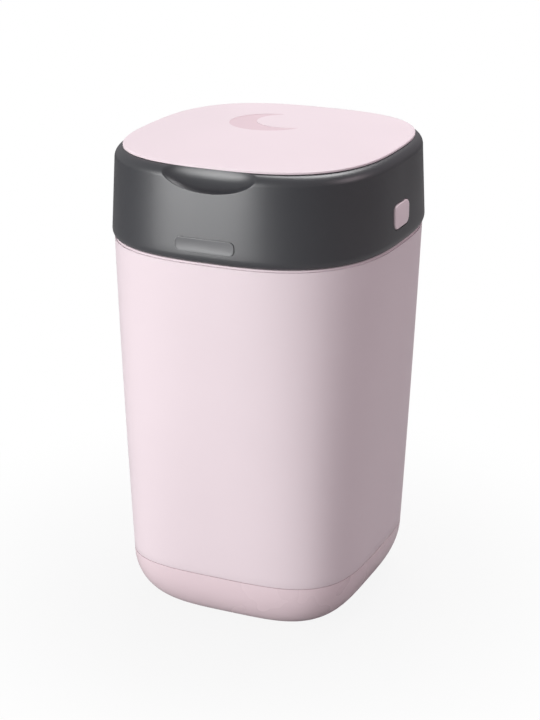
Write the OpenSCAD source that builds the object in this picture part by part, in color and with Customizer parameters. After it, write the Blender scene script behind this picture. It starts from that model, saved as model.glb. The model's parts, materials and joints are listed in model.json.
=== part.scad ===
// Nappy bin with a twist-and-seal head, in millimetres.
// +Z is up, the front is -Y, and the origin is on the floor under the middle of the tub.
// Every horizontal section of the shells is a rounded square: |x/a|^n + |y/b|^n = 1.

/* [Tub] */
// Height of the tub's rim above the floor
tub_h = 357; // [320:1:400]
// How far each side of the tub stands in from the head's widest line
tub_setback = 1.9; // [1:0.1:4]
// How far each side of the tub leans in on its way down to the base
tub_taper = 17; // [8:0.5:24]
// Thickness of the tub's wall and floor
tub_wall = 2.6; // [2:0.1:3.2]
// Depth over width of every rounded-square section
depth_ratio = 1.048; // [1.02:0.002:1.08]
// Squareness of the tub's section at the base
base_square = 3.8; // [3:0.1:4.5]

/* [Base pan] */
// Height of the rounded pan around the foot of the tub
pan_h = 52; // [44:1:60]
// How far the rounding of the pan reaches inwards
pan_round = 43; // [36:1:50]
// Thickness of the pan's wall
pan_wall = 2.4; // [2:0.1:3]

/* [Head] */
// Height of the head collar
head_h = 80.6; // [76:0.2:92]
// Width of the head across its widest line
head_w = 262.2; // [240:0.2:290]
// How far each side of the head leans in on its way up to the shoulder
head_taper = 3.1; // [1:0.1:5]
// Thickness of the collar's wall
head_wall = 2.8; // [2.2:0.1:3.2]
// Radius of the collar's top shoulder
shoulder_r = 10; // [8:0.5:11]
// Squareness of the head's and the lid's section
head_square = 2.79; // [2.6:0.01:3]
// Gap between the tub's rim and the head
parting_gap = 0.5; // [0.3:0.1:1]

/* [Lid] */
// Width of the shoulder that shows all round the lid's lip
lid_margin = 6.9; // [4:0.1:9]
// Rise of the lid's crown above its lip
lid_crown = 4.8; // [3:0.2:7]
// Thickness of the lid
lid_t = 2.2; // [1.8:0.1:2.6]
// Radius of the moon moulded in the lid
moon_r = 37; // [28:1:42]
// Depth of the moon's recess
moon_depth = 0.5; // [0.3:0.1:0.8]

/* [Finger scoop and badge] */
// Width of the scoop along the top of the collar
scoop_w = 90; // [70:1:96]
// Drop of the scoop's lowest point below the top of the collar
scoop_drop = 19; // [15:0.5:21]
// Width of the blank badge
badge_w = 56; // [40:1:64]
// Height of the blank badge
badge_h = 12.4; // [9:0.2:14]
// Height of the badge's middle above the collar's lower edge
badge_z = 15.6; // [15:0.2:20]

/* [Latch buttons] */
// Width of a latch button
button_w = 35; // [28:1:38]
// Height of a latch button
button_h = 22; // [18:0.5:24]
// Place of the buttons along the side
button_y = -10; // [-14:1:0]
// Height of the buttons above the collar's lower edge
button_z = 26.7; // [25:0.1:30]
// How far a button can be pressed
button_travel = 4.5; // [3:0.5:5]

/* [Twist mechanism] */
// Distance from the head's shoulder in to the edge of the dial
dial_margin = 31; // [30:0.5:34]
// Width of the dial's face, from its edge in to the throat
dial_face = 35; // [32:0.5:38]
// Depth of the dial's underside below the top of the head
dial_drop = 34.5; // [33:0.5:38]
// Number of ratchet teeth
teeth = 36; // [24:4:48]
// Number of finger grips
grips = 3; // [2:1:4]
// Number of jaw fingers
fingers = 12; // [8:1:14]

/* [Hinges] */
// Radius of the head hinge's pin
head_pin_r = 2; // [1.6:0.1:2.4]
// Radius of the head hinge's knuckles
head_knuckle_r = 5.5; // [5:0.1:6]
// Radius of the lid hinge's pin
lid_pin_r = 1.5; // [1.2:0.1:1.7]
// Radius of the lid hinge's knuckle
lid_knuckle_r = 4.2; // [3.8:0.1:4.4]

/* [Hidden] */
$fn = 96;

pink = "#ecdde1";
band_pink = "#e2cdd4";
grey = "#46474a";
pale_grey = "#a6a9ad";
white = "#f2f2f0";
steel = "#b8babd";

// Points round each section, and steps in each quarter of rounding
sides = 72;
steps = 6;
// Thin slice by which joined pieces of one moulding run into each other
bite = 1;
// Clearances: round running fits, free-standing gaps, and seated plates
run = 0.06;
gap = 0.3;
seat = 0.15;

// ---- Rounded-square sections and lofts ----
// A row is [a, b, n, z]: half width, half depth, squareness, height.
function sq_r(t, r) =
    1 / pow(pow(abs(cos(t)) / r[0], r[2]) + pow(abs(sin(t)) / r[1], r[2]), 1 / r[2]);
function ring(r) = [for (i = [0:sides - 1])
    let (t = 360 * i / sides, q = sq_r(t, r)) [q * cos(t), q * sin(t), r[3]]];
function inset(r, d) = [r[0] - d, r[1] - d, r[2], r[3]];
function outline(r) = [for (p = ring(r)) [p[0], p[1]]];
// Depth of a section of half width a at |x|
function depth_at(a, x) =
    a * depth_ratio * pow(1 - pow(abs(x) / a, head_square), 1 / head_square);

// Solid through a list of rows, capped at its ends, or closed into a hoop.
module loft(rows, hoop = false) {
    count = len(rows);
    bands = hoop ? count : count - 1;
    walls = [for (j = [0:bands - 1], i = [0:sides - 1])
        let (k = (i + 1) % sides, m = (j + 1) % count)
        each [[j * sides + i, m * sides + i, m * sides + k],
            [j * sides + i, m * sides + k, j * sides + k]]];
    caps = hoop ? [] : [[for (i = [0:sides - 1]) i],
        [for (i = [sides - 1:-1:0]) (count - 1) * sides + i]];
    polyhedron(points = [for (r = rows) each ring(r)], faces = concat(walls, caps));
}

module mirrored() {
    children();
    mirror([1, 0, 0]) children();
}

// Flat tile with rounded corners, standing on z = 0.
module tile(w, h, r, t) {
    corner = [for (q = [0:3], s = [0:4])
        let (sx = (q == 0 || q == 3) ? 1 : -1, sy = q < 2 ? 1 : -1, g = 90 * q + 22.5 * s)
        [sx * (w / 2 - r) + r * cos(g), sy * (h / 2 - r) + r * sin(g)]];
    linear_extrude(t) polygon(corner);
}

// Bar of a flat outline in the Y-Z plane, centred on x.
module yz_bar(points, w, x = 0) {
    translate([x - w / 2, 0, 0]) rotate([90, 0, 90]) linear_extrude(w) polygon(points);
}

module x_cylinder(r, w, y, z, x = 0) {
    translate([x, y, z]) rotate([0, 90, 0]) cylinder(r = r, h = w, center = true);
}

// Half widths, from the head down to the base and in to the throat
head_a = head_w / 2;
head_top_a = head_a - head_taper;
tub_top_a = head_a - tub_setback;
tub_base_a = tub_top_a - tub_taper;
lid_a = head_top_a - lid_margin;
dial_r = head_top_a - dial_margin;
throat_r = dial_r - dial_face;

// ---- Tub ----
pan_flat_a = tub_base_a - pan_round;
rim_h = 3.6;
rim_in = 1.6;
tub_step = 2.65;
tub_top_z = tub_h - rim_h;
function tub_n(z) = base_square + (head_square - base_square) * (z - pan_h) / (tub_h - pan_h);
function tub_a(z) = tub_base_a + (tub_top_a - tub_base_a) * (z - pan_h) / (tub_top_z - pan_h);
function row(a, n, z) = [a, a * depth_ratio, n, z];
// Rounded foot at angle g, from 90 at the flat to 0 at the top, set in by d and lifted.
function foot(g, d, lift) = let (a = pan_flat_a + pan_round * cos(g))
    [a - d * cos(g), a * depth_ratio - d * cos(g), base_square, pan_h - (pan_h - lift) * sin(g)];
function foot_rows(d, lift, up) = [for (s = [0:steps])
    let (g = 90 - 90 * s / steps) foot(up ? g : 90 - g, d, lift)];
wall_levels = [0.12, 0.32, 0.52, 0.72, 0.88];
function tub_level(f) = pan_h + f * (tub_top_z - pan_h);

catch_w = 22;
catch_h = 4;
hook_drop = 17.5;
head_z = tub_h + parting_gap;
catch_z = head_z - hook_drop + 4;

// Hinge line of the head, just behind the parting line
hinge_y = head_a * depth_ratio + head_knuckle_r - 0.5;
hinge_z = tub_h;
head_knuckle_w = 33.4;
tub_knuckle_w = 14;
knuckle_gap = 0.3;
tub_knuckle_x = head_knuckle_w / 2 + knuckle_gap + tub_knuckle_w / 2;
gusset_h = 31;

module tub() {
    side_x = tub_knuckle_x + tub_knuckle_w / 2;
    low = depth_at(tub_a(tub_h - gusset_h), side_x);
    high = depth_at(tub_a(tub_h - 10), side_x);
    color(pink) difference() {
        union() {
            loft(concat(
                foot_rows(tub_step, pan_wall, true),
                [inset(row(tub_base_a, base_square, pan_h + gap), tub_step)],
                [row(tub_base_a, base_square, pan_h + gap)],
                [for (f = wall_levels) row(tub_a(tub_level(f)), tub_n(tub_level(f)), tub_level(f))],
                [row(tub_top_a, head_square, tub_top_z)],
                [inset(row(tub_top_a, head_square, tub_top_z), rim_in)],
                [inset(row(tub_top_a, head_square, tub_h), rim_in)],
                [inset(row(tub_top_a, head_square, tub_h), rim_in + tub_wall)],
                [inset(row(tub_top_a, head_square, tub_top_z), rim_in + tub_wall)],
                [for (i = [4:-1:0]) let (z = tub_level(wall_levels[i]))
                    inset(row(tub_a(z), tub_n(z), z), tub_wall * 1.4)],
                foot_rows(tub_step + tub_wall, pan_wall + tub_wall, false)
            ));
            for (s = [-1, 1]) {
                yz_bar([[low - tub_wall / 2, tub_h - gusset_h],
                    [low + bite, tub_h - gusset_h],
                    [hinge_y + head_knuckle_r * 0.8, hinge_z - head_knuckle_r * 0.6],
                    [hinge_y, hinge_z],
                    [hinge_y - head_knuckle_r, hinge_z],
                    [high - tub_wall / 2, tub_h - 10]], tub_knuckle_w, s * tub_knuckle_x);
                x_cylinder(head_knuckle_r, tub_knuckle_w, hinge_y, hinge_z, s * tub_knuckle_x);
            }
            mirrored() tub_catch();
        }
        x_cylinder(head_pin_r, 3 * head_knuckle_w, hinge_y, hinge_z);
    }
}

// Ledge inside the tub's wall, beside each latch hook.
rim_inner_a = tub_top_a - rim_in - tub_wall;
hook_tip_x = rim_inner_a - 3.4;
module tub_catch() {
    translate([0, button_y + catch_w / 2, 0]) rotate([90, 0, 0]) linear_extrude(catch_w)
        polygon([[hook_tip_x + gap + 0.1, catch_z], [rim_inner_a + bite, catch_z],
            [rim_inner_a + bite, catch_z + catch_h + 3], [hook_tip_x + gap + 0.1, catch_z + catch_h]]);
}

module base_pan() {
    color(band_pink) loft(concat(
        foot_rows(0, 0, true),
        [inset(row(tub_base_a, base_square, pan_h), pan_wall)],
        [for (s = [1:steps]) foot(90 * s / steps, pan_wall, pan_wall)]
    ));
}

module head_hinge_pin() {
    color(steel) x_cylinder(head_pin_r, head_knuckle_w + 2 * (knuckle_gap + tub_knuckle_w),
        hinge_y, hinge_z);
}

// ---- Head collar ----
head_top_z = head_z + head_h;
ridge_z = head_z + 7;
tuck = 4;
flange_w = 12;
flange_t = 2.8;
shoulder_z = head_top_z - shoulder_r;
function head_row(a, z) = row(a, head_square, z);
function collar_a(z) = head_a + (head_top_a - head_a) * (z - ridge_z) / (shoulder_z - ridge_z);
function collar_b(z) = collar_a(z) * depth_ratio;
function tuck_row(g) = head_row(head_a - tuck * (1 - cos(g)), ridge_z - (ridge_z - head_z) * sin(g));
function shoulder_row(g, r) = let (row0 = head_row(head_top_a, shoulder_z + r * sin(g)))
    inset(row0, shoulder_r - r * cos(g));
function opening_a() = head_top_a - shoulder_r - flange_w;
function opening_row(z) = inset(head_row(head_top_a, z), shoulder_r + flange_w);

// Hinge line of the lid, inside the rear shoulder
lid_hinge_y = head_top_a * depth_ratio - lid_knuckle_r - 0.4;
lid_hinge_z = head_top_z - 7;
lid_arm_w = 39;
lid_pin_w = lid_arm_w + 26;
block_w = lid_pin_w + 6;
deck_flange_in = 16;
deck_flange_b = head_top_a * depth_ratio - deck_flange_in;
module lid_hinge_block() {
    translate([-block_w / 2, deck_flange_b + gap, lid_hinge_z - 7])
        cube([block_w, 20, 13]);
}
// Room for the lid's arm, in its closed place and as it swings back.
module lid_notch() {
    w = lid_arm_w + 2 * gap;
    x_cylinder(lid_knuckle_r + 0.5, w, lid_hinge_y, lid_hinge_z);
    translate([-w / 2, lid_hinge_y - 9, lid_hinge_z]) cube([w, 22, 12]);
    translate([-w / 2, lid_hinge_y - 20, head_top_z - flange_t]) cube([w, 22, 12]);
}

collar_outside = concat(
    [for (g = [90, 60, 30, 0]) tuck_row(g)],
    [for (s = [0:steps]) shoulder_row(90 * s / steps, shoulder_r)]
);
collar_inside = [
    opening_row(head_top_z),
    opening_row(head_top_z - flange_t),
    inset(head_row(head_top_a, head_top_z - flange_t), shoulder_r + 1),
    inset(head_row(head_top_a, shoulder_z + shoulder_r * 0.45), head_wall + 3.2),
    inset(head_row(head_top_a, shoulder_z - 1), head_wall),
    inset(head_row(head_a, ridge_z + 1.5), head_wall),
    inset(tuck_row(90), head_wall)
];
// Upper hollow of the collar, a bite larger, to trim what is thickened from inside
module collar_hollow() {
    loft([
        inset(head_row(collar_a(shoulder_z - 40), shoulder_z - 40), head_wall - bite),
        inset(head_row(head_top_a, shoulder_z - 1), head_wall - bite),
        inset(head_row(head_top_a, shoulder_z + shoulder_r * 0.45), head_wall + 3.2 - bite),
        inset(head_row(head_top_a, head_top_z - flange_t + bite), shoulder_r + 1 - bite)
    ]);
}

// The scoop is hollowed by a ball that stands out in front of the collar.
scoop_lean = 60;
scoop_arc = (pow(scoop_w / 2, 2) + pow(scoop_drop, 2)) / (2 * scoop_drop);
scoop_ball_r = sqrt(pow(scoop_arc, 2) + pow(scoop_lean, 2));
module scoop_ball(extra = 0) {
    translate([0, -collar_b(head_top_z - scoop_drop) - scoop_lean,
        head_top_z - scoop_drop + scoop_arc]) sphere(r = scoop_ball_r + extra);
}

button_rim = 4.5;
module latch_window() {
    reach = head_a - tuck - head_wall - 8;
    translate([reach, button_y, head_z + button_z]) rotate([90, 0, 90])
        tile(button_w + 1.6, button_h + 1.6, 5.8, 30);
}

badge_tilt = atan((head_a - head_top_a) * depth_ratio / (shoulder_z - ridge_z));
badge_sunk = 1.3;
module at_badge() {
    translate([-1.5, -collar_b(head_z + badge_z), head_z + badge_z])
        rotate([90 - badge_tilt, 0, 0]) translate([0, 0, -badge_sunk]) children();
}

// Screw bosses stand in the four corners of the collar.
boss_r = 5.5;
boss_h = 22;
screw_r = 1.6;
screw_l = 16;
plate_z = head_z + 14.5;
plate_t = 3;
boss_a = collar_a(plate_z + boss_h) - head_wall - 3.5;
boss_k = pow(0.5, 1 / head_square);
module at_bosses() {
    for (sx = [-1, 1], sy = [-1, 1])
        translate([sx * boss_a * boss_k, sy * boss_a * depth_ratio * boss_k, 0]) children();
}

module head_collar() {
    web_y = depth_at(collar_a(ridge_z + 6), head_knuckle_w / 2);
    color(grey) difference() {
        union() {
            loft(concat(collar_outside, collar_inside), hoop = true);
            intersection() {
                collar_hollow();
                union() {
                    scoop_ball(head_wall);
                    lid_hinge_block();
                }
            }
            at_bosses() translate([0, 0, plate_z + plate_t]) cylinder(r = boss_r, h = boss_h);
            yz_bar([[web_y - head_wall * 0.7, ridge_z + 4],
                [hinge_y - head_knuckle_r + 0.2, hinge_z + 1],
                [hinge_y, hinge_z],
                [hinge_y + head_knuckle_r, hinge_z],
                [hinge_y + head_knuckle_r, hinge_z + 6],
                [web_y + 0.5, ridge_z + 26],
                [web_y - head_wall * 0.7, ridge_z + 26]], head_knuckle_w);
            x_cylinder(head_knuckle_r, head_knuckle_w, hinge_y, hinge_z);
        }
        x_cylinder(head_pin_r + run, 2 * head_knuckle_w, hinge_y, hinge_z);
        at_bosses() translate([0, 0, plate_z]) cylinder(r = screw_r, h = screw_l + 2);
        mirrored() latch_window();
        at_badge() tile(badge_w + 2 * seat, badge_h + 2 * seat, 5 + seat, 10);
        scoop_ball();
        lid_notch();
        x_cylinder(lid_pin_r, lid_pin_w, lid_hinge_y, lid_hinge_z);
    }
}

module badge_plate() {
    color(pale_grey) at_badge() tile(badge_w, badge_h, 5, badge_sunk + 0.5);
}

// ---- Chassis: screwed plate, cassette well and posts for the click springs ----
well_z = head_z - 7.5;
floor_t = 2.5;
well_wall = 2.5;
carrier_z = well_z + floor_t + 0.7;
tray_z = carrier_z + 2;
cover_t = 1.5;
dial_z = head_top_z - dial_drop;
cover_z = dial_z - 0.9 - cover_t;
cassette_h = cover_z - tray_z;
well_r = dial_r;
plate_row = inset(head_row(collar_a(plate_z), plate_z), head_wall + 0.8);
click_a = 42;
click_r = dial_r + 11.6;
click_z = dial_z + 0.4;
spring_pad_r = 4;
spring_post_r = 1.4;
slider_t = 3;
nose = 4.6;
slider_x = hook_tip_x - nose - slider_t;
slider_w = 28;
face_x = collar_a(head_z + button_z) + 0.8;
wall_x = collar_a(head_z + button_z) - head_wall;
button_back = 1.6;
flange_x = wall_x - 2;
spring_seat_x = well_r + 3;
function pol(r, g) = [r * cos(g), r * sin(g)];
module spin2() {
    for (g = [0, 180]) rotate(g) children();
}

// Slot in the plate that guides a latch slider, and the wider bay for its button's flange.
module latch_bay() {
    bay_w = button_w + button_rim + 2;
    back = button_travel + 1;
    translate([slider_x - back, button_y - slider_w / 2 - gap, plate_z - 1])
        cube([head_a - slider_x, slider_w + 2 * gap, plate_t + 2]);
    flange_back = flange_x - button_back - back;
    translate([flange_back, button_y - bay_w / 2, plate_z - 1])
        cube([head_a - flange_back, bay_w, plate_t + 2]);
}

module head_chassis() {
    color(white) difference() {
        union() {
            rotate_extrude() polygon([[throat_r, well_z], [well_r, well_z],
                [well_r, dial_z - 0.2], [well_r - well_wall, dial_z - 0.2],
                [well_r - well_wall, well_z + floor_t], [throat_r + 2, well_z + floor_t],
                [throat_r + 2, well_z + floor_t + 1.6], [throat_r, well_z + floor_t + 1.6]]);
            difference() {
                translate([0, 0, plate_z]) linear_extrude(plate_t) polygon(outline(plate_row));
                translate([0, 0, plate_z - 1]) cylinder(r = well_r - 1, h = plate_t + 2);
            }
            spin2() translate(concat(pol(click_r, click_a), plate_z + 1)) {
                cylinder(r = spring_pad_r, h = click_z - plate_z - 1);
                cylinder(r = spring_post_r, h = click_z - plate_z + 1);
            }
            mirrored() translate([well_r - 2, button_y - 7, head_z + button_z - 6])
                cube([spring_seat_x - well_r + 2, 14, 12]);
        }
        at_bosses() translate([0, 0, plate_z - 1]) cylinder(r = screw_r + 0.3, h = plate_t + 2);
        mirrored() latch_bay();
        at_jaw_screws() translate([0, 0, well_z - 1]) cylinder(r = jaw_screw_r, h = floor_t + 2);
    }
}

module chassis_screws() {
    color(steel) at_bosses() {
        translate([0, 0, plate_z - 2]) cylinder(r = 3.4, h = 2);
        translate([0, 0, plate_z - 1]) cylinder(r = screw_r, h = screw_l - 1);
    }
}

// ---- Funnel deck: a rounded square that narrows to the round dial ----
deck_hole_r = dial_r + 0.5;
deck_hole_z = dial_z + 8.4;
deck_t = 2;
module funnel_deck() {
    top = head_row(head_top_a, head_top_z - flange_t);
    inner = inset(top, shoulder_r + flange_w + 1.5);
    mid_a = (inner[0] + deck_hole_r) / 2;
    mid_b = (inner[1] + deck_hole_r) / 2;
    mid_z = deck_hole_z + 8;
    color(white) loft([
        [deck_hole_r + deck_t, deck_hole_r + deck_t, 2, deck_hole_z],
        [mid_a + deck_t, mid_b + deck_t, 2.35, mid_z - 1.4],
        [inner[0] + deck_t, inner[1] + deck_t, head_square, inner[3] - 5],
        [top[0] - deck_flange_in, top[1] - deck_flange_in, head_square, top[3] - deck_t],
        inset(top, deck_flange_in),
        inner,
        [inner[0], inner[1], head_square, inner[3] - 4],
        [mid_a, mid_b, 2.35, mid_z],
        [deck_hole_r, deck_hole_r, 2, deck_hole_z + deck_t],
        [deck_hole_r, deck_hole_r, 2, deck_hole_z]
    ], hoop = true);
}

// Bent leaf springs that click along the dial's teeth.
tooth = 2.2;
leaf_t = 0.9;
leaf_h = 3;
leaf_dip = 4;
leaf_foot = 1;
pad_t = 0.8;
dip_a = click_a - 9;
tip_a = click_a - 16.5;
curl_a = click_a - 19;
module click_springs() {
    tip = dial_r + tooth + gap;
    color(steel) spin2() translate([0, 0, click_z]) difference() {
        union() {
            translate(pol(click_r, click_a)) cylinder(r = spring_pad_r, h = pad_t);
            linear_extrude(leaf_h) polygon([pol(click_r - leaf_foot, click_a - 1),
                pol(click_r, click_a + 0.5), pol(click_r - leaf_dip, dip_a),
                pol(tip + leaf_t, tip_a), pol(tip + 2 * leaf_t, curl_a),
                pol(tip + leaf_foot, curl_a - 0.3), pol(tip, tip_a),
                pol(click_r - leaf_dip - leaf_t, dip_a)]);
        }
        translate(concat(pol(click_r, click_a), -1)) cylinder(r = spring_post_r, h = leaf_h);
    }
}

// ---- Jaw ring: springy fingers that hold the twisted film below the throat ----
jaw_t = 2.5;
jaw_z = well_z - jaw_t;
jaw_r = well_r - 9;
jaw_screw_r = 1.5;
finger_w = 14;
finger_drop = 25;
finger_in = 30;
module at_jaw_screws() {
    for (g = [45:90:315]) rotate(g) translate([throat_r + 16, 0, 0]) children();
}
module jaw_ring() {
    color(white) difference() {
        union() {
            rotate_extrude() polygon([[throat_r + 1, jaw_z], [jaw_r, jaw_z], [jaw_r, well_z],
                [throat_r + 1, well_z]]);
            for (k = [0:fingers - 1]) rotate([90, 0, 360 * (k + 0.5) / fingers])
                translate([0, 0, -finger_w / 2]) linear_extrude(finger_w)
                    polygon([[throat_r + 6, jaw_z + 1], [throat_r + 6, jaw_z - 1],
                        [throat_r + 1, jaw_z - 3], [throat_r - finger_in, jaw_z - finger_drop],
                        [throat_r - finger_in - 1, jaw_z - finger_drop + 1.2],
                        [throat_r + 1.5, jaw_z + 0.6]]);
        }
        at_jaw_screws() translate([0, 0, jaw_z - 1]) cylinder(r = jaw_screw_r, h = jaw_t + 2);
    }
}

module jaw_screws() {
    color(steel) at_jaw_screws() {
        translate([0, 0, jaw_z - 1.8]) cylinder(r = 3, h = 1.8);
        translate([0, 0, jaw_z - 1]) cylinder(r = jaw_screw_r, h = jaw_t + 3);
    }
}

module lid_hinge_pin() {
    color(steel) x_cylinder(lid_pin_r, lid_pin_w, lid_hinge_y, lid_hinge_z);
}

// ---- Lid ----
lid_lift = 0.7;
lip_bevel = 0.5;
lid_z = head_top_z + lid_lift;
lip_t = 1.5;
land_in = head_top_a - shoulder_r - flange_w - 2.5;
function crown_z(a) = lid_z + lip_t + lid_crown * (1 - pow(a / lid_a, 2));
function lid_row(a, z) = [a, a + lid_a * (depth_ratio - 1), head_square, z];
function top_row(a) = [a, a * depth_ratio, head_square, crown_z(a)];
crown_levels = [0.91, 0.75, 0.51, 0.28, 0.1];
under_levels = [0.1, 0.5, 0.72];
moon_x = -15;
moon_y = 31;
moon_in = norm([moon_x, moon_y]);

module lid_shell() {
    arm_top = lid_z + 0.9;
    color(pink) difference() {
        union() {
            loft(concat(
                [for (f = under_levels) let (r = top_row(f * lid_a)) [r[0], r[1], r[2], r[3] - lid_t]],
                [lid_row(land_in - 6, lid_z + lip_bevel), lid_row(land_in, lid_z + lip_bevel)],
                [lid_row(land_in, lid_z), lid_row(lid_a - 0.6, lid_z)],
                [lid_row(lid_a, lid_z + lip_bevel), lid_row(lid_a, lid_z + 2 * lip_bevel)],
                [lid_row(lid_a - 0.7, lid_z + lip_t + 0.1)],
                [for (f = crown_levels) top_row(f * lid_a)]
            ));
            yz_bar([[lid_hinge_y - 16, head_top_z - 1.6],
                [lid_hinge_y - 8, head_top_z - 1.6],
                [lid_hinge_y - lid_knuckle_r, lid_hinge_z + 0.5],
                [lid_hinge_y, lid_hinge_z],
                [lid_hinge_y + lid_knuckle_r, lid_hinge_z + 0.5],
                [lid_a * depth_ratio - 0.6, arm_top],
                [lid_hinge_y - 16, arm_top]], lid_arm_w);
            x_cylinder(lid_knuckle_r, lid_arm_w, lid_hinge_y, lid_hinge_z);
        }
        x_cylinder(lid_pin_r + run, 2 * lid_arm_w, lid_hinge_y, lid_hinge_z);
        moon_recess();
    }
}

// Crescent recess with a flat, tilted floor, deepest towards the middle of the lid.
module moon_recess() {
    slope = atan(2 * lid_crown * moon_in / pow(lid_a, 2));
    translate([moon_x, moon_y, crown_z(moon_in)])
        rotate(a = -slope, v = [-moon_y, moon_x, 0])
        translate([0, 0, -moon_depth - 0.4]) linear_extrude(8) difference() {
            circle(r = moon_r);
            translate([moon_r * 0.42, moon_r * 0.3]) circle(r = moon_r * 0.82);
        }
}

liner_a = land_in - 2;
liner_drop = 8;
liner_z = head_top_z - liner_drop;
liner_foot = 2.5;
liner_t = 1.8;
liner_bevel = 7.5;
liner_wall = 2.6;
groove_z = head_top_z - 2.6;
groove_h = 2;
groove_in = 1.1;
module lid_liner() {
    color(white) loft([
        lid_row(crown_levels[4] * lid_a, liner_z),
        lid_row(liner_a - liner_bevel, liner_z),
        lid_row(liner_a, liner_z + liner_foot),
        lid_row(liner_a, groove_z),
        lid_row(liner_a - groove_in, groove_z),
        lid_row(liner_a - groove_in, groove_z + groove_h),
        lid_row(liner_a, groove_z + groove_h),
        lid_row(liner_a, lid_z + lip_bevel),
        lid_row(liner_a - liner_wall, lid_z + lip_bevel),
        lid_row(liner_a - liner_wall, liner_z + 2 * liner_t),
        lid_row(liner_a - liner_bevel - 0.5, liner_z + liner_t),
        lid_row(crown_levels[4] * lid_a, liner_z + liner_t)
    ]);
}

// Soft wiper seal in the liner's groove.
module lid_seal() {
    color(pale_grey) loft([
        lid_row(liner_a - groove_in, groove_z),
        lid_row(liner_a + 3.2, groove_z + 0.5),
        lid_row(liner_a + 3.4, groove_z + 1.2),
        lid_row(liner_a - groove_in, groove_z + groove_h)
    ], hoop = true);
}

// ---- Dial, cassette and cutter ----
rail_in = throat_r + 2;
rail_out = throat_r + 4.5;
rail_top = dial_z + 14.4;
land_z = dial_z + 10.4;
dial_h = 20.6;
grip_w = 11;
module twist_dial() {
    color(pale_grey) union() {
        rotate_extrude() polygon([[dial_r - 7, dial_z], [dial_r - 0.5, dial_z],
            [dial_r - 0.5, dial_z + 4], [dial_r - 1, dial_z + 4],
            [dial_r - 1, dial_z + dial_h - 1.2], [dial_r - 2.2, dial_z + dial_h],
            [dial_r - 5, dial_z + dial_h],
            [rail_out + 3.5, land_z], [rail_out, land_z], [rail_out, rail_top], [rail_in, rail_top],
            [rail_in, dial_z + 2.4], [rail_out, dial_z + 2.4], [rail_out, land_z - 2.4],
            [rail_out + 4.3, land_z - 2.4], [dial_r - 3.4, dial_z + dial_h - 3.6],
            [dial_r - 3.4, dial_z + 4], [dial_r - 7, dial_z + 4]]);
        translate([0, 0, dial_z + 0.3]) linear_extrude(3.4) difference() {
            polygon([for (k = [0:teeth - 1]) each
                [pol(dial_r + tooth, 360 * k / teeth), pol(dial_r, 360 * (k + 0.88) / teeth)]]);
            circle(r = dial_r - 2);
        }
        // Stop at which the cutter parks
        rotate([0, 0, -carriage_a / 2 - 4]) rotate_extrude(angle = 3) polygon([
            [rail_in + 0.2, rail_top - 1], [rail_out - 0.2, rail_top - 1],
            [rail_out - 0.2, rail_top + 2], [rail_in + 0.2, rail_top + 2]]);
        for (k = [0:grips - 1]) rotate(360 * k / grips + 30) rotate([90, 0, 0])
            translate([0, 0, -grip_w / 2]) linear_extrude(grip_w)
                polygon([[rail_out + 5, land_z + 0.4], [rail_out + 5, land_z - 0.6],
                    [dial_r - 4, dial_z + dial_h - 2], [dial_r - 4, dial_z + dial_h],
                    [rail_out + 9, dial_z + dial_h + 1.4]]);
    }
}

carrier_r = dial_r - 3.3;
carrier_wall = 1.7;
module cassette_carrier() {
    color(white) difference() {
        rotate_extrude() polygon([[carrier_r - 10, carrier_z], [carrier_r, carrier_z],
            [carrier_r, dial_z], [carrier_r - carrier_wall, dial_z],
            [carrier_r - carrier_wall, tray_z], [carrier_r - 10, tray_z]]);
        for (k = [0:5]) rotate(60 * k) translate([carrier_r - 4, -20, carrier_z + 12])
            cube([8, 40, dial_z - carrier_z - 24]);
    }
}

tray_r = carrier_r - carrier_wall - 0.4;
tray_in = throat_r + 1;
tray_wall = 1.5;
module cassette_tray() {
    color(white) rotate_extrude() polygon([[tray_in, tray_z], [tray_r, tray_z], [tray_r, cover_z],
        [tray_r - tray_wall, cover_z], [tray_r - tray_wall, tray_z + tray_wall],
        [tray_in + tray_wall, tray_z + tray_wall], [tray_in + tray_wall, cover_z - 0.5],
        [tray_in + tray_wall / 2, cover_z], [tray_in, cover_z - 0.5]]);
}

// Gathered sleeve of film, pleated like a concertina.
pleat = 2.4;
module film_pack() {
    low = tray_z + tray_wall;
    count = floor((cassette_h - tray_wall - 5) / pleat);
    color("#dfe6e2") rotate_extrude() polygon(concat(
        [for (k = [0:count]) each [[tray_in + 4, low + k * pleat],
            [tray_in + 4.8, low + (k + 0.5) * pleat]]],
        [for (k = [count:-1:0]) each [[tray_r - 4, low + (k + 0.5) * pleat],
            [tray_r - 3.2, low + k * pleat]]]
    ));
}

module cassette_cover() {
    color(pink) rotate_extrude() polygon([[tray_in + 3.4, cover_z], [tray_r - tray_wall - 1.6, cover_z],
        [tray_r - tray_wall - 1.2, cover_z - 2.5], [tray_r - tray_wall - 0.1, cover_z - 2.5],
        [tray_r - tray_wall - 0.1, cover_z], [tray_r, cover_z],
        [tray_r, cover_z + cover_t], [tray_in + 3.4, cover_z + cover_t]]);
}

// The cutter's carriage straddles the dial's inner rail.
carriage_a = 16;
module cutter_carriage() {
    leg = 1.9;
    roof = rail_top + gap;
    color(band_pink) union() {
        rotate([0, 0, -carriage_a / 2]) rotate_extrude(angle = carriage_a) polygon([
            [rail_in - gap - leg, dial_z + 1.6], [rail_in - gap, dial_z + 1.6],
            [rail_in - gap, roof], [rail_out + gap, roof], [rail_out + gap, land_z + gap],
            [rail_out + gap + leg, land_z + gap], [rail_out + gap + leg, roof + 1.6],
            [rail_in - gap - leg, roof + 1.6]]);
        rotate([0, 0, -carriage_a / 4]) rotate_extrude(angle = carriage_a / 2) polygon([
            [rail_in - 0.6, roof + 1], [rail_out + 0.6, roof + 1],
            [rail_out, roof + 5], [rail_in, roof + 5]]);
    }
}

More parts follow.
